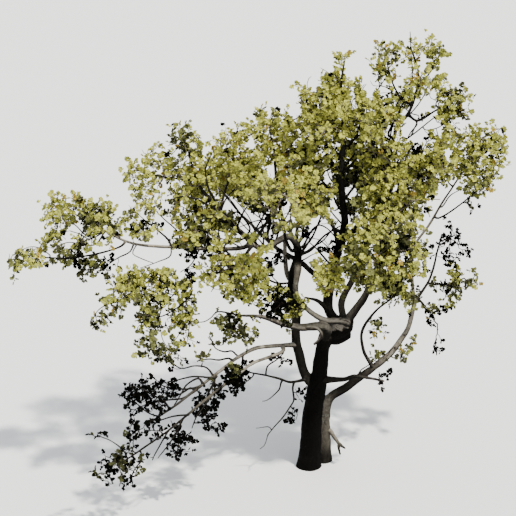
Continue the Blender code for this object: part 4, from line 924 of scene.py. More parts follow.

# Painted light on each limb's bark from its foot to its tip, from 0 in painted shade to 1 fully lit
PAINTED_LIGHT_ALONG = {
    "trunk": (0.04, 0.01, 0.01, 0.01, 0.01, 0.01, 0.01, 0.02, 0.03, 0.15),
    "fused_stem": (0.02, 0.06, 0.34, 0.40, 0.42, 0.42),
    "right_stem": (0.12, 0.02, 0.04, 0.46, 0.56, 0.56, 0.50),
    "left_stem": (0.22, 0.06, 0.05, 0.08, 0.05, 0.03, 0.01, 0.01),
    "stem_shoulder": (0.01, 0.01),
    "elbow_under": (0.02, 0.02, 0.01, 0.00),
    "stem_ridge": (0.30, 0.50, 0.55, 0.60),
    "left_arch": (0.85, 1.00, 0.80, 0.45),
    "front_left_bough": (0.34, 0.75, 0.60, 0.40),
    "centre_leader": (0.05, 0.01, 0.01, 0.05, 0.12),
    "right_leader": (0.16, 0.07, 0.10),
    "right_bough": (0.30, 0.26, 0.14),
    "elbow_ridge": (0.60, 1.00, 1.00, 0.85),
    "front_shoot": (0.03, 0.03, 0.20),
    "elbow_twig": (0.80, 0.95, 0.80),
    "inner_shoot": (0.30, 0.12, 0.02),
    "arch_upright": (0.03, 0.03),
    "arch_crossing": (0.02, 0.02),
    "back_left_bough": (0.02, 0.02, 0.40, 0.30),
    "upright_bough": (0.60, 0.80, 0.20, 0.10),
    "cluster_out": (0.60, 0.40),
    "stem_top_left": (0.06, 0.06),
    "stem_top_right": (0.06, 0.06),
    "right_upper_bough": (0.60, 0.55, 0.28),
    "right_fork_bough": (0.06, 0.03),
    "low_left_bough": (0.60, 0.85, 0.70, 0.16, 0.03),
    "low_left_branch": (0.60, 0.75, 0.30, 0.06, 0.03),
    "mid_left_bough": (0.40, 0.85, 0.95, 0.60),
    "small_left_bough": (0.20, 0.03, 0.03),
    "foot_shoot": (0.50, 0.40),
}
OTHER_LIMBS = (0.05, 0.04)
# How much of its painted light a limb keeps underneath in painted shade, and how wide two limbs' tones blend
UNDERSIDE_LIT_SHARE = 0.03
BLEND = 0.012
# How far up a limb's side turns to where its painted light starts, and to where it is full
SOFT_EDGE = (-0.45, 0.45)
HARD_EDGE = (0.18, 0.58)
HARD_EDGED = ("trunk", "elbow_under")

# Cracks in the bark: their pace across and along a limb, their shift from limb to limb,
# how wide they are, and how much of the relief is theirs
Crack = namedtuple("Crack", "across along shift width share")

CRACKS = [
    Crack(15.0, 3.4, 4.7, 0.16, 0.62),
    Crack(30.0, 7.0, 9.1, 0.20, 0.38),
]
BARK_TWIST = 0.55
# The height that stays where it was, and how deep the relief is by the limb's radius
LEVEL = 0.62
RELIEF_LEAST = 0.002
RELIEF_SHARE = 0.055
RELIEF_MOST = 0.012
# Lumps under the bark: how close together, and how big by the limb's radius
LUMP_PACE = 5.0
LUMP_SHARE = 0.13
LUMP_MOST = 0.020
# How many points of the limbs a place on the bark looks to
NEIGHBOURS = 8

# Towards the sun, as shares of a mass's width, depth and height: painted light makes leaves lighter on that
# side
SUNWARD = np.array((0.15, -0.25, 0.75))

# Where a twig has to end, how much light is painted into its colours there, and how far its leaves lift
Goal = namedtuple("Goal", "place light lift")

rng = np.random.default_rng(SEED)


# Small helpers


def unit(vector):
    return vector / max(float(np.linalg.norm(vector)), 1e-9)


def units(rows):
    return rows / np.maximum(np.linalg.norm(rows, axis=-1, keepdims=True), 1e-9)


def drawn(pair):
    """A random value: the first of a pair, and up to the second more."""
    return pair[0] + pair[1] * rng.random()


def seen(places):
    """How far right of the view's middle and above it each place shows, in metres at the tree."""
    out = np.asarray(places) - np.array(EYE)
    scale = VIEW_DISTANCE / (out @ np.array(AHEAD))
    return out[..., 0] * scale, (out @ np.array(ABOVE)) * scale


def within(places, windows):
    """Which places show inside any of the windows."""
    right, up = seen(places)
    inside = np.zeros(right.shape, bool)
    for window in windows:
        across = right - window.right
        rise = up - window.up
        along = rise * math.cos(window.lean) - across * math.sin(window.lean)
        aside = across * math.cos(window.lean) + rise * math.sin(window.lean)
        inside |= (aside / window.wide) ** 2 + (along / window.tall) ** 2 < 1
    return inside


def mesh_of(name, points, faces):
    """A mesh from points and triangles."""
    mesh = bpy.data.meshes.new(name)
    mesh.vertices.add(len(points))
    mesh.vertices.foreach_set("co", np.asarray(points, np.float32).ravel())
    mesh.loops.add(faces.size)
    mesh.loops.foreach_set("vertex_index", faces.astype(np.int32).ravel())
    mesh.polygons.add(len(faces))
    mesh.polygons.foreach_set("loop_start", np.arange(0, faces.size, 3, dtype=np.int32))
    mesh.update(calc_edges=True)
    return mesh


def add_piece(name, mesh, material, smooth=True):
    piece = bpy.data.objects.new(name, mesh)
    bpy.context.scene.collection.objects.link(piece)
    mesh.materials.append(material)
    mesh.polygons.foreach_set("use_smooth", np.full(len(mesh.polygons), smooth))
    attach(piece, "root")
    return piece


# Limbs


def curve_through(points, step):
    """Points at an even step along a smooth curve, and how far along the points each is."""
    points = [Vector(point) for point in points]
    track = []
    places = []
    for index in range(len(points) - 1):
        p1, p2 = points[index], points[index + 1]
        p0 = points[index - 1] if index > 0 else 2 * p1 - p2
        p3 = points[index + 2] if index + 2 < len(points) else 2 * p2 - p1
        for part in range(FINE_STEPS):
            t = part / FINE_STEPS
            straight = 2 * p1 + (p2 - p0) * t
            bend = (2 * p0 - 5 * p1 + 4 * p2 - p3) * t**2 + (3 * p1 - p0 - 3 * p2 + p3) * t**3
            track.append((straight + bend) / 2)
            places.append(index + t)
    track.append(points[-1])
    places.append(len(points) - 1.0)
    track = np.array([tuple(place) for place in track])
    far = distances(track)
    rings = max(4, round(far[-1] / step))
    wanted = np.linspace(0.0, far[-1], rings + 1)
    path = np.stack([np.interp(wanted, far, track[:, axis]) for axis in range(3)], axis=1)
    return path, np.interp(wanted, far, places)


def distances(path):
    """How far along itself each point of a path is."""
    return np.concatenate([[0.0], np.cumsum(np.linalg.norm(np.diff(path, axis=0), axis=1))])


def wobbled(path, radii, seed):
    """The path with small bends of its own, none at its two ends."""
    ends = np.sin(np.linspace(0.0, math.pi, len(path))) ** 0.5
    moved = path.copy()
    for index, place in enumerate(path):
        spot = Vector(place) * WOBBLE_PACE + Vector((seed * 5.3, 0.0, 0.0))
        shift = np.array([noise.noise(spot + Vector((0.0, 17.0 * axis, 0.0))) for axis in range(3)])
        moved[index] += shift * ends[index] * (WOBBLE + WOBBLE_SHARE * radii[index])
    return moved


def foot_on(path, radii, place):
    """Where on its parent a limb to this place starts, and the parent's radius there."""
    nearest = int(np.linalg.norm(path - np.array(place), axis=1).argmin())
    back = SET_BACK * radii[nearest]
    start = path[nearest].copy()
    at = nearest
    while at > 0 and back > 0:
        step = path[at - 1] - start
        length = float(np.linalg.norm(step))
        moved = min(back, length)
        start = start + step / max(length, 1e-9) * moved
        back -= moved
        if back > 0:
            at -= 1
    return start, radii[nearest]


def stem_of(stem):
    path, places = curve_through([place for place, _ in stem], LIMB_STEP)
    radii = np.interp(places, range(len(stem)), [radius for _, radius in stem])
    return path, radii


def frames_along(path):
    """Two directions square to the path at each point, turning as little as they can."""
    ways = units(np.gradient(path, axis=0))
    across = np.cross(ways[0], (0.31, 0.86, 0.40))
    first = []
    for way in ways:
        across = unit(across - way * np.dot(across, way))
        first.append(across)
    first = np.array(first)
    return ways, first, np.cross(ways, first)


def tube(path, radii, sides):
    """A closed tapering tube: its points and triangles."""
    ways, first, second = frames_along(path)
    turn = np.arange(sides) * 2 * math.pi / sides
    spokes = np.cos(turn)[None, :, None] * first[:, None] + np.sin(turn)[None, :, None] * second[:, None]
    rings = path[:, None] + spokes * np.asarray(radii)[:, None, None]
    count = len(path)
    points = np.concatenate([rings.reshape(-1, 3), path[:1], path[-1:] + ways[-1:] * radii[-1] * 0.8])
    here = np.arange(sides)
    after = (here + 1) % sides
    low = (np.arange(count - 1) * sides)[:, None]
    a, b = (low + here).ravel(), (low + after).ravel()
    c, d = a + sides, b + sides
    foot = np.full(sides, count * sides)
    last = (count - 1) * sides
    faces = np.concatenate([
        np.stack([a, b, d], 1),
        np.stack([a, d, c], 1),
        np.stack([foot, after, here], 1),
        np.stack([foot + 1, last + here, last + after], 1),
    ])
    return points, faces


class Heap:
    """Meshes gathered to be one."""

    def __init__(self):
        self.points = []
        self.faces = []
        self.count = 0

    def add(self, points, faces):
        self.points.append(points)
        self.faces.append(faces + self.count)
        self.count += len(points)

    def mesh(self, name):
        return mesh_of(name, np.concatenate(self.points), np.concatenate(self.faces))


# Wood that twigs can grow on


class Wood:
    """Every point of the limbs and twigs: its place, what it grows from, and its radius."""

    most = 120000

    def __init__(self):
        self.place = np.zeros((self.most, 3))
        self.way = np.zeros((self.most, 3))
        self.parent = np.full(self.most, -1)
        self.radius = np.zeros(self.most)
        self.run = np.zeros(self.most)
        self.bears = np.zeros(self.most, bool)
        self.light = np.zeros(self.most)
        self.count = 0

    def add(self, path, ways, parent, radii, run, bears, light=0.0):
        first = self.count
        last = first + len(path)
        self.place[first:last] = path
        self.way[first:last] = ways
        self.parent[first:last] = np.arange(first - 1, last - 1)
        self.parent[first] = parent
        self.radius[first:last] = radii
        self.run[first:last] = run
        self.bears[first:last] = bears
        self.light[first:last] = light
        self.count = last
        return first


def limb_path(limb, parent_path, parent_radii, seed):
    start, thickness = foot_on(parent_path, parent_radii, limb.way[0])
    path, _ = curve_through([start, *limb.way], LIMB_STEP)
    foot = min(limb.foot, THICKEST_FOOT * thickness)
    radii = np.linspace(foot, limb.tip, len(path))
    return wobbled(path, radii, seed), radii, thickness


def with_collar(path, radii, thickness):
    """Radii that swell where the limb comes out of its parent."""
    out = np.maximum(distances(path) - thickness, 0.0)
    return radii * (1 + COLLAR * np.exp(-out / (COLLAR_LENGTH * radii[0])))


# Bark


def ridges(along, cross, seed):
    """How high the bark stands at a place on a limb, from 0 in a furrow to 1 on a ridge."""
    height = 0.0
    for crack in CRACKS:
        down = along * crack.along + seed * crack.shift
        spot = Vector((cross[0] * crack.across, cross[1] * crack.across, down))
        height += crack.share * min(abs(noise.noise(spot)) / crack.width, 1.0)
    return height


def tones_of(name, count):
    """A limb's painted light and shade at each of its points."""
    stops = PAINTED_LIGHT_ALONG.get(name, OTHER_LIMBS)
    return np.interp(np.linspace(0.0, 1.0, count), np.linspace(0.0, 1.0, len(stops)), stops)


def relief(mesh, lines):
    """Pushes the vertices in and out as bark, and keeps their heights and painted light for their colour."""
    tree = KDTree(sum(len(path) for _, path, _, _ in lines))
    owners = []
    for number, (_, path, _, _) in enumerate(lines):
        for index, place in enumerate(path):
            tree.insert(place, len(owners))
            owners.append((number, index))
    tree.balance()
    frames = [frames_along(path) for _, path, _, _ in lines]
    runs = [distances(path) for _, path, _, _ in lines]
    tones = [tones_of(name, len(path)) for name, path, _, _ in lines]
    total = len(mesh.vertices)
    places = np.empty(total * 3, np.float32)
    normals = np.empty(total * 3, np.float32)
    mesh.vertices.foreach_get("co", places)
    mesh.vertex_normals.foreach_get("vector", normals)
    places = places.reshape(-1, 3).astype(float)
    normals = normals.reshape(-1, 3).astype(float)
    height = np.zeros(total)
    depth = np.zeros(total)
    swell = np.zeros(total)
    lit_share = np.zeros(total)
    hard = np.zeros(total, bool)
    for vertex, place in enumerate(places):
        near = [(distance - lines[owners[owner][0]][2][owners[owner][1]], *owners[owner])
                for _, owner, distance in tree.find_n(place, NEIGHBOURS)]
        proud, number, index = min(near)
        name, path, radii, seed = lines[number]
        weights = [math.exp((proud - other) / BLEND) for other, _, _ in near]
        shade = sum(w * tones[n][i] for w, (_, n, i) in zip(weights, near)) / sum(weights)
        lit_share[vertex] = shade
        hard[vertex] = name in HARD_EDGED
        ways, first, second = frames[number]
        out = place - path[index]
        lead = float(np.dot(out, ways[index]))
        along = runs[number][index] + lead
        twist = BARK_TWIST * along
        x, y = float(np.dot(out, first[index])), float(np.dot(out, second[index]))
        cross = (x * math.cos(twist) - y * math.sin(twist), x * math.sin(twist) + y * math.cos(twist))
        height[vertex] = ridges(along, cross, seed)
        depth[vertex] = min(RELIEF_MOST, RELIEF_LEAST + RELIEF_SHARE * radii[index])
        lump = noise.noise(Vector(place) * LUMP_PACE + Vector((seed, 3.0, 7.0)))
        swell[vertex] = lump * min(LUMP_MOST, LUMP_SHARE * radii[index])
    moved = places + normals * (swell + depth * (height - LEVEL))[:, None]
    mesh.vertices.foreach_set("co", moved.astype(np.float32).ravel())
    # Painted shade on the undersides: the tops keep their painted light, the undersides lose it
    low, high = np.where(hard[:, None], HARD_EDGE, SOFT_EDGE).T
    up = np.clip((normals[:, 2] - low) / (high - low), 0.0, 1.0)
    lit_share *= UNDERSIDE_LIT_SHARE + (1 - UNDERSIDE_LIT_SHARE) * up * up * (3 - 2 * up)
    for name, values in (("height", height), ("painted_light", lit_share)):
        layer = mesh.attributes.new(name, "FLOAT", "POINT")
        layer.data.foreach_set("value", values.astype(np.float32))
    mesh.update()


def remeshed(mesh, voxel):
    """The same solid as one skin of small even faces, with its joints blended."""
    item = bpy.data.objects.new("remesh", mesh)
    bpy.context.scene.collection.objects.link(item)
    modifier = item.modifiers.new("remesh", "REMESH")
    modifier.mode = "VOXEL"
    modifier.voxel_size = voxel
    modifier.adaptivity = 0.0
    smooth = item.modifiers.new("smooth", "SMOOTH")
    smooth.factor = 0.5
    smooth.iterations = 4
    bpy.context.view_layer.update()
    result = bpy.data.meshes.new_from_object(item.evaluated_get(bpy.context.evaluated_depsgraph_get()))
    bpy.data.objects.remove(item)
    return result


def cut_flat(mesh):
    """Cuts the mesh flat at ground level."""
    work = bmesh.new()
    work.from_mesh(mesh)
    every = list(work.verts) + list(work.edges) + list(work.faces)
    cut = bmesh.ops.bisect_plane(work, geom=every, plane_co=(0, 0, 0), plane_no=(0, 0, -1), clear_outer=True)
    rim = [item for item in cut["geom_cut"] if isinstance(item, bmesh.types.BMEdge)]
    bmesh.ops.triangle_fill(work, edges=rim, use_beauty=True)
    bmesh.ops.triangulate(work, faces=work.faces)
    work.to_mesh(mesh)
    work.free()


# Materials


def material_of(name, colour, roughness, shine):
    material = bpy.data.materials.new(name)
    material.use_nodes = True
    shader = material.node_tree.nodes["Principled BSDF"]
    shader.inputs["Base Color"].default_value = (*colour, 1.0)
    shader.inputs["Roughness"].default_value = roughness
    shader.inputs["Specular IOR Level"].default_value = shine
    return material


def bark_material(name, lichen_from, lichen_to):
    """Bark: painted light and shade by limb and side, painted shade in its furrows, flecks in its tone, and
    patches of lichen only where light is painted.
    """
    material = material_of(name, LIT_BARK, 0.92, 0.05)
    tree = material.node_tree
    shader = tree.nodes["Principled BSDF"]
    place = tree.nodes.new("ShaderNodeTexCoord")

    def texture(scale, detail, roughness):
        made = tree.nodes.new("ShaderNodeTexNoise")
        made.inputs["Scale"].default_value = scale
        made.inputs["Detail"].default_value = detail
        made.inputs["Roughness"].default_value = roughness
        tree.links.new(place.outputs["Object"], made.inputs["Vector"])
        return made.outputs["Fac"]

    def ramp(fac, stops):
        made = tree.nodes.new("ShaderNodeValToRGB")
        tree.links.new(fac, made.inputs["Fac"])
        while len(made.color_ramp.elements) < len(stops):
            made.color_ramp.elements.new(0.5)
        for element, (at, tone) in zip(made.color_ramp.elements, stops):
            element.position = at
            element.color = (*tone, 1.0)
        return made.outputs["Color"]

    def mixed(fac, one, other, blend="MIX"):
        made = tree.nodes.new("ShaderNodeMix")
        made.data_type = "RGBA"
        made.blend_type = blend
        if isinstance(fac, float):
            made.inputs["Factor"].default_value = fac
        else:
            tree.links.new(fac, made.inputs["Factor"])
        for socket, value in ((made.inputs["A"], one), (made.inputs["B"], other)):
            if isinstance(value, tuple):
                socket.default_value = (*value, 1.0)
            else:
                tree.links.new(value, socket)
        return made.outputs["Result"]

    flecks = ramp(texture(26.0, 6.0, 0.7), [(0.30, (0.55, 0.52, 0.50)), (0.52, (1.0, 1.0, 1.0)),
                                            (0.72, (1.32, 1.30, 1.22))])
    broad = ramp(texture(1.7, 3.0, 0.5), [(0.35, (0.78, 0.76, 0.76)), (0.65, (1.12, 1.10, 1.04))])
    # Painted light and shade from the limbs' tones and sides, between the shaded and the lit bark colours
    painted_light = tree.nodes.new("ShaderNodeAttribute")
    painted_light.attribute_name = "painted_light"
    colour = mixed(painted_light.outputs["Fac"], SHADED_BARK, LIT_BARK)
    ridge = mixed(1.0, mixed(1.0, colour, flecks, "MULTIPLY"), broad, "MULTIPLY")
    # Lichen patches, laid only where light is painted
    patches = ramp(texture(6.5, 5.0, 0.62), [(lichen_from, (0.0, 0.0, 0.0)), (lichen_to, (1.0, 1.0, 1.0))])
    lichen_where_lit = mixed(1.0, patches, painted_light.outputs["Fac"], "MULTIPLY")
    grown = mixed(lichen_where_lit, ridge, LICHEN)
    # Painted shade in the furrows, by the bark's height
    level = tree.nodes.new("ShaderNodeAttribute")
    level.attribute_name = "height"
    open_bark = ramp(level.outputs["Fac"], [(0.12, (0.0, 0.0, 0.0)), (0.55, (1.0, 1.0, 1.0))])
    tree.links.new(mixed(open_bark, FURROW_SHADE, grown), shader.inputs["Base Color"])

    bump = tree.nodes.new("ShaderNodeBump")
    bump.inputs["Strength"].default_value = 0.5
    bump.inputs["Distance"].default_value = 0.006
    tree.links.new(texture(60.0, 5.0, 0.65), bump.inputs["Height"])
    tree.links.new(bump.outputs["Normal"], shader.inputs["Normal"])
    return material


def grown_material(name, colour, look):
    """Leaves or twigs: one colour, a little lighter and darker from place to place."""
    material = material_of(name, colour, look.roughness, look.shine)
    tree = material.node_tree
    shader = tree.nodes["Principled BSDF"]
    place = tree.nodes.new("ShaderNodeTexCoord")
    patches = tree.nodes.new("ShaderNodeTexNoise")
    patches.inputs["Scale"].default_value = look.patches
    patches.inputs["Detail"].default_value = 3.0
    tree.links.new(place.outputs["Object"], patches.inputs["Vector"])
    ramp = tree.nodes.new("ShaderNodeValToRGB")
    tree.links.new(patches.outputs["Fac"], ramp.inputs["Fac"])
    for element, at, share in zip(ramp.color_ramp.elements, PATCH_EDGES, (look.darkest, look.lightest)):
        element.position = at
        element.color = (*(share * channel for channel in colour), 1.0)
    tree.links.new(ramp.outputs["Color"], shader.inputs["Base Color"])
    return material


# Growing


def depth_in(node):
    """How deep inside this CAD node's solid a place is; less than nothing outside."""
    mesh = frame["nodes"][node].data
    shape = BVHTree.FromPolygons([v.co for v in mesh.vertices], [tuple(p.vertices) for p in mesh.polygons])

    def depth(place):
        nearest, normal, _, distance = shape.find_nearest(place)
        return -math.copysign(distance, (Vector(place) - nearest).dot(normal))

    return depth


def goals_in(node, fill):
    """Places for sprays in a mass, no two nearer than its spacing, fewer at its edge and with gaps."""
    low, high = (np.array(corner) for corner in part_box(node))
    depth = depth_in(node)
    tries = int(np.prod(high - low) / fill.spacing**3 * TRIES)
    chosen = []
    for place in low + rng.random((tries, 3)) * (high - low):
        if chosen and np.linalg.norm(np.array(chosen) - place, axis=1).min() < fill.spacing:
            continue
        if (depth(place) + EDGE) / (FULL + EDGE) > rng.random():
            chosen.append(place)
    density = np.array([noise.noise(Vector(place) / GAP_SIZE + GAP_SHIFT) for place in chosen])
    full = density >= np.quantile(density, fill.open)
    middle = (low + high) / 2
    half = (high - low) / 2
    goals = []
    for place, keep in zip(chosen, full):
        if keep:
            # Painted light: sprays on the sunward side of the mass get lighter colours
            sunny = float(np.dot((place - middle) / half, SUNWARD))
            goals.append(Goal(place, fill.light * (1 + SUNNY_SIDE * sunny), fill.lift))
    return goals


def goals_in_tuft(tuft):
    """Places for sprays scattered through a tuft."""
    spread = rng.normal(size=(tuft.sprays, 3))
    spread = units(spread) * rng.random((tuft.sprays, 1)) ** TUFT_POWER
    places = np.round(np.array(tuft.place) + spread * np.array(tuft.half), ROUNDED)
    return [Goal(place, tuft.light, tuft.lift) for place in places]


def add_twig(wood, start, goal, lift, light):
    """A twig from a point of the wood to a goal. Returns its first point."""
    foot = wood.place[start]
    way = wood.way[start]
    gap = goal - foot
    far = float(np.linalg.norm(gap))
    straight = gap / max(far, 1e-6)
    leave = unit(LEAVE_PARENT * way + STRAIGHT * straight + rng.normal(size=3) * LEAVE_UNEVEN)
    arrive = unit(STRAIGHT * straight + np.array((0.0, 0.0, lift)) + rng.normal(size=3) * ARRIVE_UNEVEN)
    near = foot + leave * far * LEAVE_REACH
    beyond = goal - arrive * far * ARRIVE_REACH
    steps = max(2, round(far / TWIG_STEP))
    t = (np.arange(1, steps + 1) / steps)[:, None]
    path = (1 - t) ** 3 * foot + 3 * (1 - t) ** 2 * t * near + 3 * (1 - t) * t**2 * beyond + t**3 * goal
    path[:-1] += rng.normal(size=(steps - 1, 3)) * KINK
    whole = np.vstack([foot, path])
    lengths = np.linalg.norm(np.diff(whole, axis=0), axis=1)
    ways = units(np.gradient(whole, axis=0))[1:]
    run = wood.run[start] + np.cumsum(lengths)
    bears = np.ones(len(path), bool)
    bears[0] = len(path) < 3
    return wood.add(np.round(path, ROUNDED), np.round(ways, ROUNDED), start, TIP_RADIUS, run, bears, light)


def grow(wood, goals):
    """Joins each goal to the wood by a twig, the cheapest first. Returns each goal's first point."""
    places = np.array([goal.place for goal in goals])
    price = np.full(len(goals), np.inf)
    source = np.zeros(len(goals), int)
    rows = np.arange(len(goals))

    def offer(first, last):
        points = np.arange(first, last)[wood.bears[first:last]]
        if not len(points):
            return
        gaps = places[:, None] - wood.place[points][None]
        far = np.linalg.norm(gaps, axis=2)
        turn = 1 - np.einsum("gpc,pc->gp", gaps, wood.way[points]) / np.maximum(far, 1e-6)
        cost = np.round(far * (1 + TURN_COST * turn) + RUN_COST * wood.run[points], ROUNDED)
        best = cost.argmin(axis=1)
        low = cost[rows, best]
        better = low < price
        price[better] = low[better]
        source[better] = points[best[better]]

    offer(0, wood.count)
    waiting = np.ones(len(goals), bool)
    firsts = {}
    while waiting.any():
        index = int(np.where(waiting, price, np.inf).argmin())
        waiting[index] = False
        first = wood.count
        add_twig(wood, source[index], places[index], goals[index].lift, goals[index].light)
        firsts[index] = (first, wood.count)
        offer(first, wood.count)
    return firsts


def thicken(wood, first_twig):
    """Gives each twig point a radius from what it carries."""
    load = np.zeros(wood.count)
    for point in range(wood.count - 1, first_twig - 1, -1):
        radius = max(TIP_RADIUS, load[point] ** (1 / PIPE))
        wood.radius[point] = radius
        parent = wood.parent[point]
        if parent >= first_twig:
            load[parent] += radius**PIPE
    for point in range(first_twig, wood.count):
        parent = wood.parent[point]
        if parent < first_twig:
            wood.radius[point] = min(wood.radius[point], TWIG_SHARE * wood.radius[parent])
        else:
            wood.radius[point] = min(wood.radius[point], wood.radius[parent])


def twig_heaps(wood, first_twig):
    """Tubes along every twig, each one on into its thickest fork: those with painted shade, and those with
    painted sunlight.
    """
    main = {}
    for point in range(first_twig, wood.count):
        parent = wood.parent[point]
        if parent >= first_twig and (parent not in main or wood.radius[point] > wood.radius[main[parent]]):
            main[parent] = point
    heaps = (Heap(), Heap())
    for point in range(first_twig, wood.count):
        parent = wood.parent[point]
        if parent >= first_twig and main[parent] == point:
            continue
        chain = [parent, point]
        while chain[-1] in main:
            chain.append(main[chain[-1]])
        radii = wood.radius[chain].copy()
        radii[0] = radii[1] * TWIG_FOOT
        radii[-1] *= TWIG_TIP
        sides = 3 if radii[1] < THREE_SIDED else 4 if radii[1] < FOUR_SIDED else 6
        sunny = wood.light[chain[-1]] * (1 + rng.normal() * UNEVEN) > SUNNY_FROM
        heaps[int(sunny)].add(*tube(wood.place[chain], radii, sides))
    return heaps


# Leaves


def leaf_shape():
    """A pinnate leaf of unit length along +X, facing +Z, its leaflets in pairs: points and triangles."""
    heap = Heap()
    slots = [(at, turn * side) for at, turn in LEAFLET_PAIRS for side in (1, -1)]
    slots.append((END_LEAFLET, 0))

    def stalk(at):
        return np.array((at, 0.0, -RIB_DROOP * at * at))

    for at, turn in slots:
        if turn and rng.random() < LEAFLETS_MISSING:
            continue
        length = LEAFLET_LENGTH * drawn(LEAFLET_LENGTHS)
        width = length * drawn(LEAFLET_WIDTHS)
        heading = math.radians(turn + rng.normal() * LEAFLET_TURN_UNEVEN)
        roll = rng.normal() * LEAFLET_ROLL
        dip = drawn(LEAFLET_DIP)
        points = np.array([(u * length, v * width, LEAFLET_FOLD * abs(v) * width + dip * u * u * length)
                           for u, v in LEAFLET])
        y, z = points[:, 1].copy(), points[:, 2].copy()
        points[:, 1] = y * math.cos(roll) - z * math.sin(roll)
        points[:, 2] = y * math.sin(roll) + z * math.cos(roll)
        x, y = points[:, 0].copy(), points[:, 1].copy()
        points[:, 0] = x * math.cos(heading) - y * math.sin(heading)
        points[:, 1] = x * math.sin(heading) + y * math.cos(heading)
        heap.add(points + stalk(at), np.array(LEAFLET_FACES))
    rib = []
    for at in RIB:
        rib += [stalk(at) + RIB_WIDTH, stalk(at) - RIB_WIDTH]
    heap.add(np.array(rib), np.array(RIB_FACES))
    return np.concatenate(heap.points), np.concatenate(heap.faces)


class Leaves:
    """Where each leaf starts, which way it points and faces, its size and its colour."""

    def __init__(self):
        self.rows = []

    def along(self, path, own, goal):
        """Leaves on the last stretch of a twig, in a spiral."""
        far = distances(path)
        stretch = min(LEAFY, far[-1] * LEAFY_SHARE)
        ways = units(np.gradient(path, axis=0))
        turn = rng.random() * 2 * math.pi
        at = far[-1]
        while at >= far[-1] - stretch:
            place = np.array([np.interp(at, far, path[:, axis]) for axis in range(3)])
            way = unit(np.array([np.interp(at, far, ways[:, axis]) for axis in range(3)]))
            side = unit(np.cross(way, (0.0, 0.0, 1.0)) + 1e-4)
            rise = np.cross(side, way)
            out = math.cos(turn) * side + LEAF_SIDEWAYS * math.sin(turn) * rise
            forward = 1.0 if at == far[-1] else drawn(LEAF_ON)
            up = np.array((0, 0, LEAF_UP + LEAF_LIFT * goal.lift))
            aside = rng.normal(size=3) * LEAF_WAY_UNEVEN
            direction = unit(out * LEAF_OUT + way * forward + up + aside)
            self.rows.append((place, direction, leaf_tint(own, goal.light), drawn(LEAF_SIZES)))
            turn += LEAF_TURN + rng.normal() * LEAF_TURN_UNEVEN
            at -= LEAF_STEP * drawn(LEAF_STEPS)


def leaf_pieces(leaves, low, high):
    """One joined mesh of leaves for each colour, with none outside the box or in a window."""
    shapes = [leaf_shape() for _ in range(LEAF_VARIANTS)]
    place = np.array([row[0] for row in leaves.rows])
    along = units(np.array([row[1] for row in leaves.rows]))
    tint = np.array([row[2] for row in leaves.rows])
    size = np.array([row[3] for row in leaves.rows]) * LEAF_LENGTH
    variant = rng.integers(0, LEAF_VARIANTS, len(place))
    outward = units((place - CROWN_MIDDLE) * CROWN_SHAPE)
    face = np.array((0.0, 0.0, FACE_UP)) + FACE_OUT * outward + rng.normal(size=place.shape) * FACE_UNEVEN
    face = units(face - along * (face * along).sum(1, keepdims=True))
    across = np.cross(face, along)
    turned = np.stack([along, across, face], axis=1)
    keep = ~within(place + along * size[:, None] * LEAF_MIDDLE, WINDOWS)
    reach = place + along * size[:, None] * LEAF_REACH
    keep &= (reach > low).all(1) & (reach < high).all(1) & (place[:, 2] > LOWEST_LEAF)
    made = {}
    for number, name in enumerate(TINTS):
        heap = Heap()
        for kind, (points, faces) in enumerate(shapes):
            chosen = np.flatnonzero(keep & (tint == number) & (variant == kind))
            if not len(chosen):
                continue
            placed = np.einsum("pk,nkc->npc", points, turned[chosen]) * size[chosen, None, None]
            placed += place[chosen, None]
            shift = (np.arange(len(chosen)) * len(points))[:, None, None]
            heap.add(placed.reshape(-1, 3), (faces[None] + shift).reshape(-1, 3))
        made[name] = heap
    return made


# The tree


def tint_at(light):
    """Which leaf colour goes with this much light."""
    return int(np.searchsorted(TINT_TOPS, light))


def leaf_tint(own, light):
    """A leaf's colour: mostly its spray's own, and gold here and there in the light."""
    if light > TINT_TOPS[1] and rng.random() < GOLD:
        return len(TINT_TOPS) + 1
    if rng.random() < SAME_TINT:
        return own
    return tint_at(light * (1 + rng.normal() * 2 * UNEVEN))


def build_limbs():
    """Every limb's path and radii, by name."""
    paths = {"trunk": stem_of(STEM), "fused_stem": stem_of(FUSED_STEM)}
    feet = {}
    for seed, limb in enumerate(MAIN_LIMBS + BOUGHS + BRANCHES):
        path, radii, thickness = limb_path(limb, *paths[limb.parent], seed)
        paths[limb.name] = (path, radii)
        feet[limb.name] = thickness
    return paths, feet


def wood_of(paths):
    """The limbs as wood for twigs to start from."""
    wood = Wood()
    for name, (path, radii) in paths.items():
        bears = (radii < THICKEST_BEARER) & (name not in BARE_LIMBS)
        bears[: min(3, len(bears) - 2)] = False
        bears[:-1] &= np.arange(len(bears) - 1) % BEARS_EVERY == 0
        wood.add(path, units(np.gradient(path, axis=0)), -1, radii, 0.0, bears)
    return wood


def bark_pieces(paths, feet):
    """The trunk with its main limbs, and the boughs with the thinner limbs."""
    stems = Heap()
    lines = []
    main = ["trunk", "fused_stem"] + [limb.name for limb in MAIN_LIMBS]
    for seed, name in enumerate(main):
        path, radii = paths[name]
        stems.add(*tube(path, radii, TRUNK_SIDES))
        lines.append((name, path, radii, seed))
    skin = remeshed(stems.mesh("trunk_bark"), VOXEL)
    relief(skin, lines)
    cut_flat(skin)
    trunk = add_piece("trunk_bark", skin, bark_material("trunk_bark", 0.56, 0.64))
    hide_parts("trunk", *[limb.name for limb in MAIN_LIMBS if limb.name in frame["nodes"]])

    boughs = Heap()
    lines = []
    for seed, limb in enumerate(BOUGHS + BRANCHES):
        path, radii = paths[limb.name]
        fat = with_collar(path, radii, feet[limb.name])
        sides = BOUGH_SIDES if limb in BOUGHS else BRANCH_SIDES
        boughs.add(*tube(path, fat, sides))
        lines.append((limb.name, path, radii, seed))
    mesh = boughs.mesh("bough_bark")
    relief(mesh, lines)
    piece = add_piece("bough_bark", mesh, bark_material("bough_bark", 0.54, 0.66))
    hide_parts(*[limb.name for limb in BOUGHS])


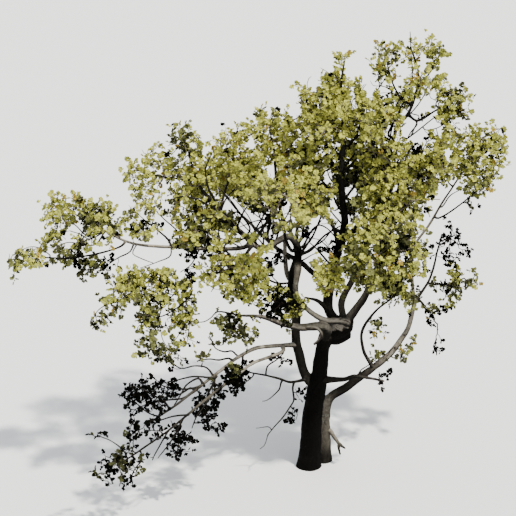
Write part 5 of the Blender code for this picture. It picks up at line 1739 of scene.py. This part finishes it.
def foliage(paths):
    """Every twig and leaf: the wood with its first twig point, and the leaves."""
    wood = wood_of(paths)
    first_twig = wood.count
    goals = []
    for node, fill in FILLS.items():
        goals += goals_in(node, fill)
    for tuft in TUFTS:
        goals += goals_in_tuft(tuft)
    places = np.array([goal.place for goal in goals])
    clear = ~within(places, WINDOWS)
    shaded = within(places, SHADES)
    # Sprays in the shade windows get painted deep shade
    goals = [goal._replace(light=SHADE * goal.light) if dark else goal
             for goal, keep, dark in zip(goals, clear, shaded) if keep]
    firsts = grow(wood, goals)

    leaves = Leaves()
    for index, goal in enumerate(goals):
        first, last = firsts[index]
        own = tint_at(goal.light * (1 + rng.normal() * UNEVEN))
        points = [wood.parent[first], *range(first, last)]
        if rng.random() > BARE_SHARE:
            leaves.along(wood.place[points], own, goal)
        for _ in range(SIDE_SHOOTS):
            if rng.random() < SHOOTS_LEFT_OUT:
                continue
            start = int(rng.integers(first, last))
            way = wood.way[start]
            aside = rng.normal(size=3)
            aside = unit(aside - way * np.dot(aside, way))
            length = drawn(SHOOT_LENGTH)
            rise = np.array((0, 0, SHOOT_LIFT * goal.lift))
            end = wood.place[start] + length * unit(SHOOT_WAY * way + SHOOT_ASIDE * aside + rise)
            begun = wood.count
            add_twig(wood, start, end, goal.lift, goal.light)
            points = [start, *range(begun, wood.count)]
            leaves.along(wood.place[points], own, goal)
    thicken(wood, first_twig)
    return wood, first_twig, leaves


def add_stage():
    """The floor, the light and the camera."""
    bpy.ops.mesh.primitive_plane_add(size=FLOOR_SIZE, location=(0.0, 0.0, 0.0))
    floor = bpy.context.object
    floor.name = "floor"
    floor.data.materials.append(material_of("floor", FLOOR_COLOUR, FLOOR_ROUGHNESS, FLOOR_SHINE))

    world = bpy.data.worlds.new("studio")
    bpy.context.scene.world = world
    world.use_nodes = True
    backdrop = world.node_tree.nodes["Background"]
    backdrop.inputs["Color"].default_value = (*SKY_COLOUR, 1.0)
    backdrop.inputs["Strength"].default_value = SKY_STRENGTH

    key = bpy.data.lights.new("key", "SUN")
    key.energy = SUN_STRENGTH
    key.angle = SUN_WIDTH
    key.color = SUN_COLOUR
    lamp = bpy.data.objects.new("key", key)
    bpy.context.scene.collection.objects.link(lamp)
    lamp.rotation_euler = SUN_FROM.to_track_quat("Z", "Y").to_euler()

    camera = bpy.data.objects.new("camera", bpy.data.cameras.new("camera"))
    camera.data.lens = LENS
    camera.data.sensor_width = SENSOR
    camera.location = EYE
    camera.rotation_euler = (math.pi / 2 - TILT, 0.0, 0.0)
    bpy.context.scene.collection.objects.link(camera)
    bpy.context.scene.camera = camera


def main():
    add_stage()
    low = np.array(cad_box[0]) - BOX_SLACK
    high = np.array(cad_box[1]) + BOX_SLACK
    paths, feet = build_limbs()
    bark_pieces(paths, feet)

    wood, first_twig, leaves = foliage(paths)
    heaps = twig_heaps(wood, first_twig)
    # The twigs in two copies of one colour, painted shade and painted sunlight
    for name, heap, colour in zip(("twigs", "sunny_twigs"), heaps, (SHADED_TWIG, SUNNY_TWIG)):
        add_piece(name, heap.mesh(name), grown_material(name, colour, TWIG_LOOK))

    made = leaf_pieces(leaves, low, high)
    for name, colour in TINTS.items():
        mesh = made[name].mesh("leaves_" + name)
        look = LEAF_LOOK._replace(shine=LEAF_LOOK.shine * min(1.0, colour[1] / DULL_BELOW))
        material = grown_material("leaf_" + name, colour, look)
        add_piece("leaves_" + name, mesh, material, False)
    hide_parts(*FILLS)


main()
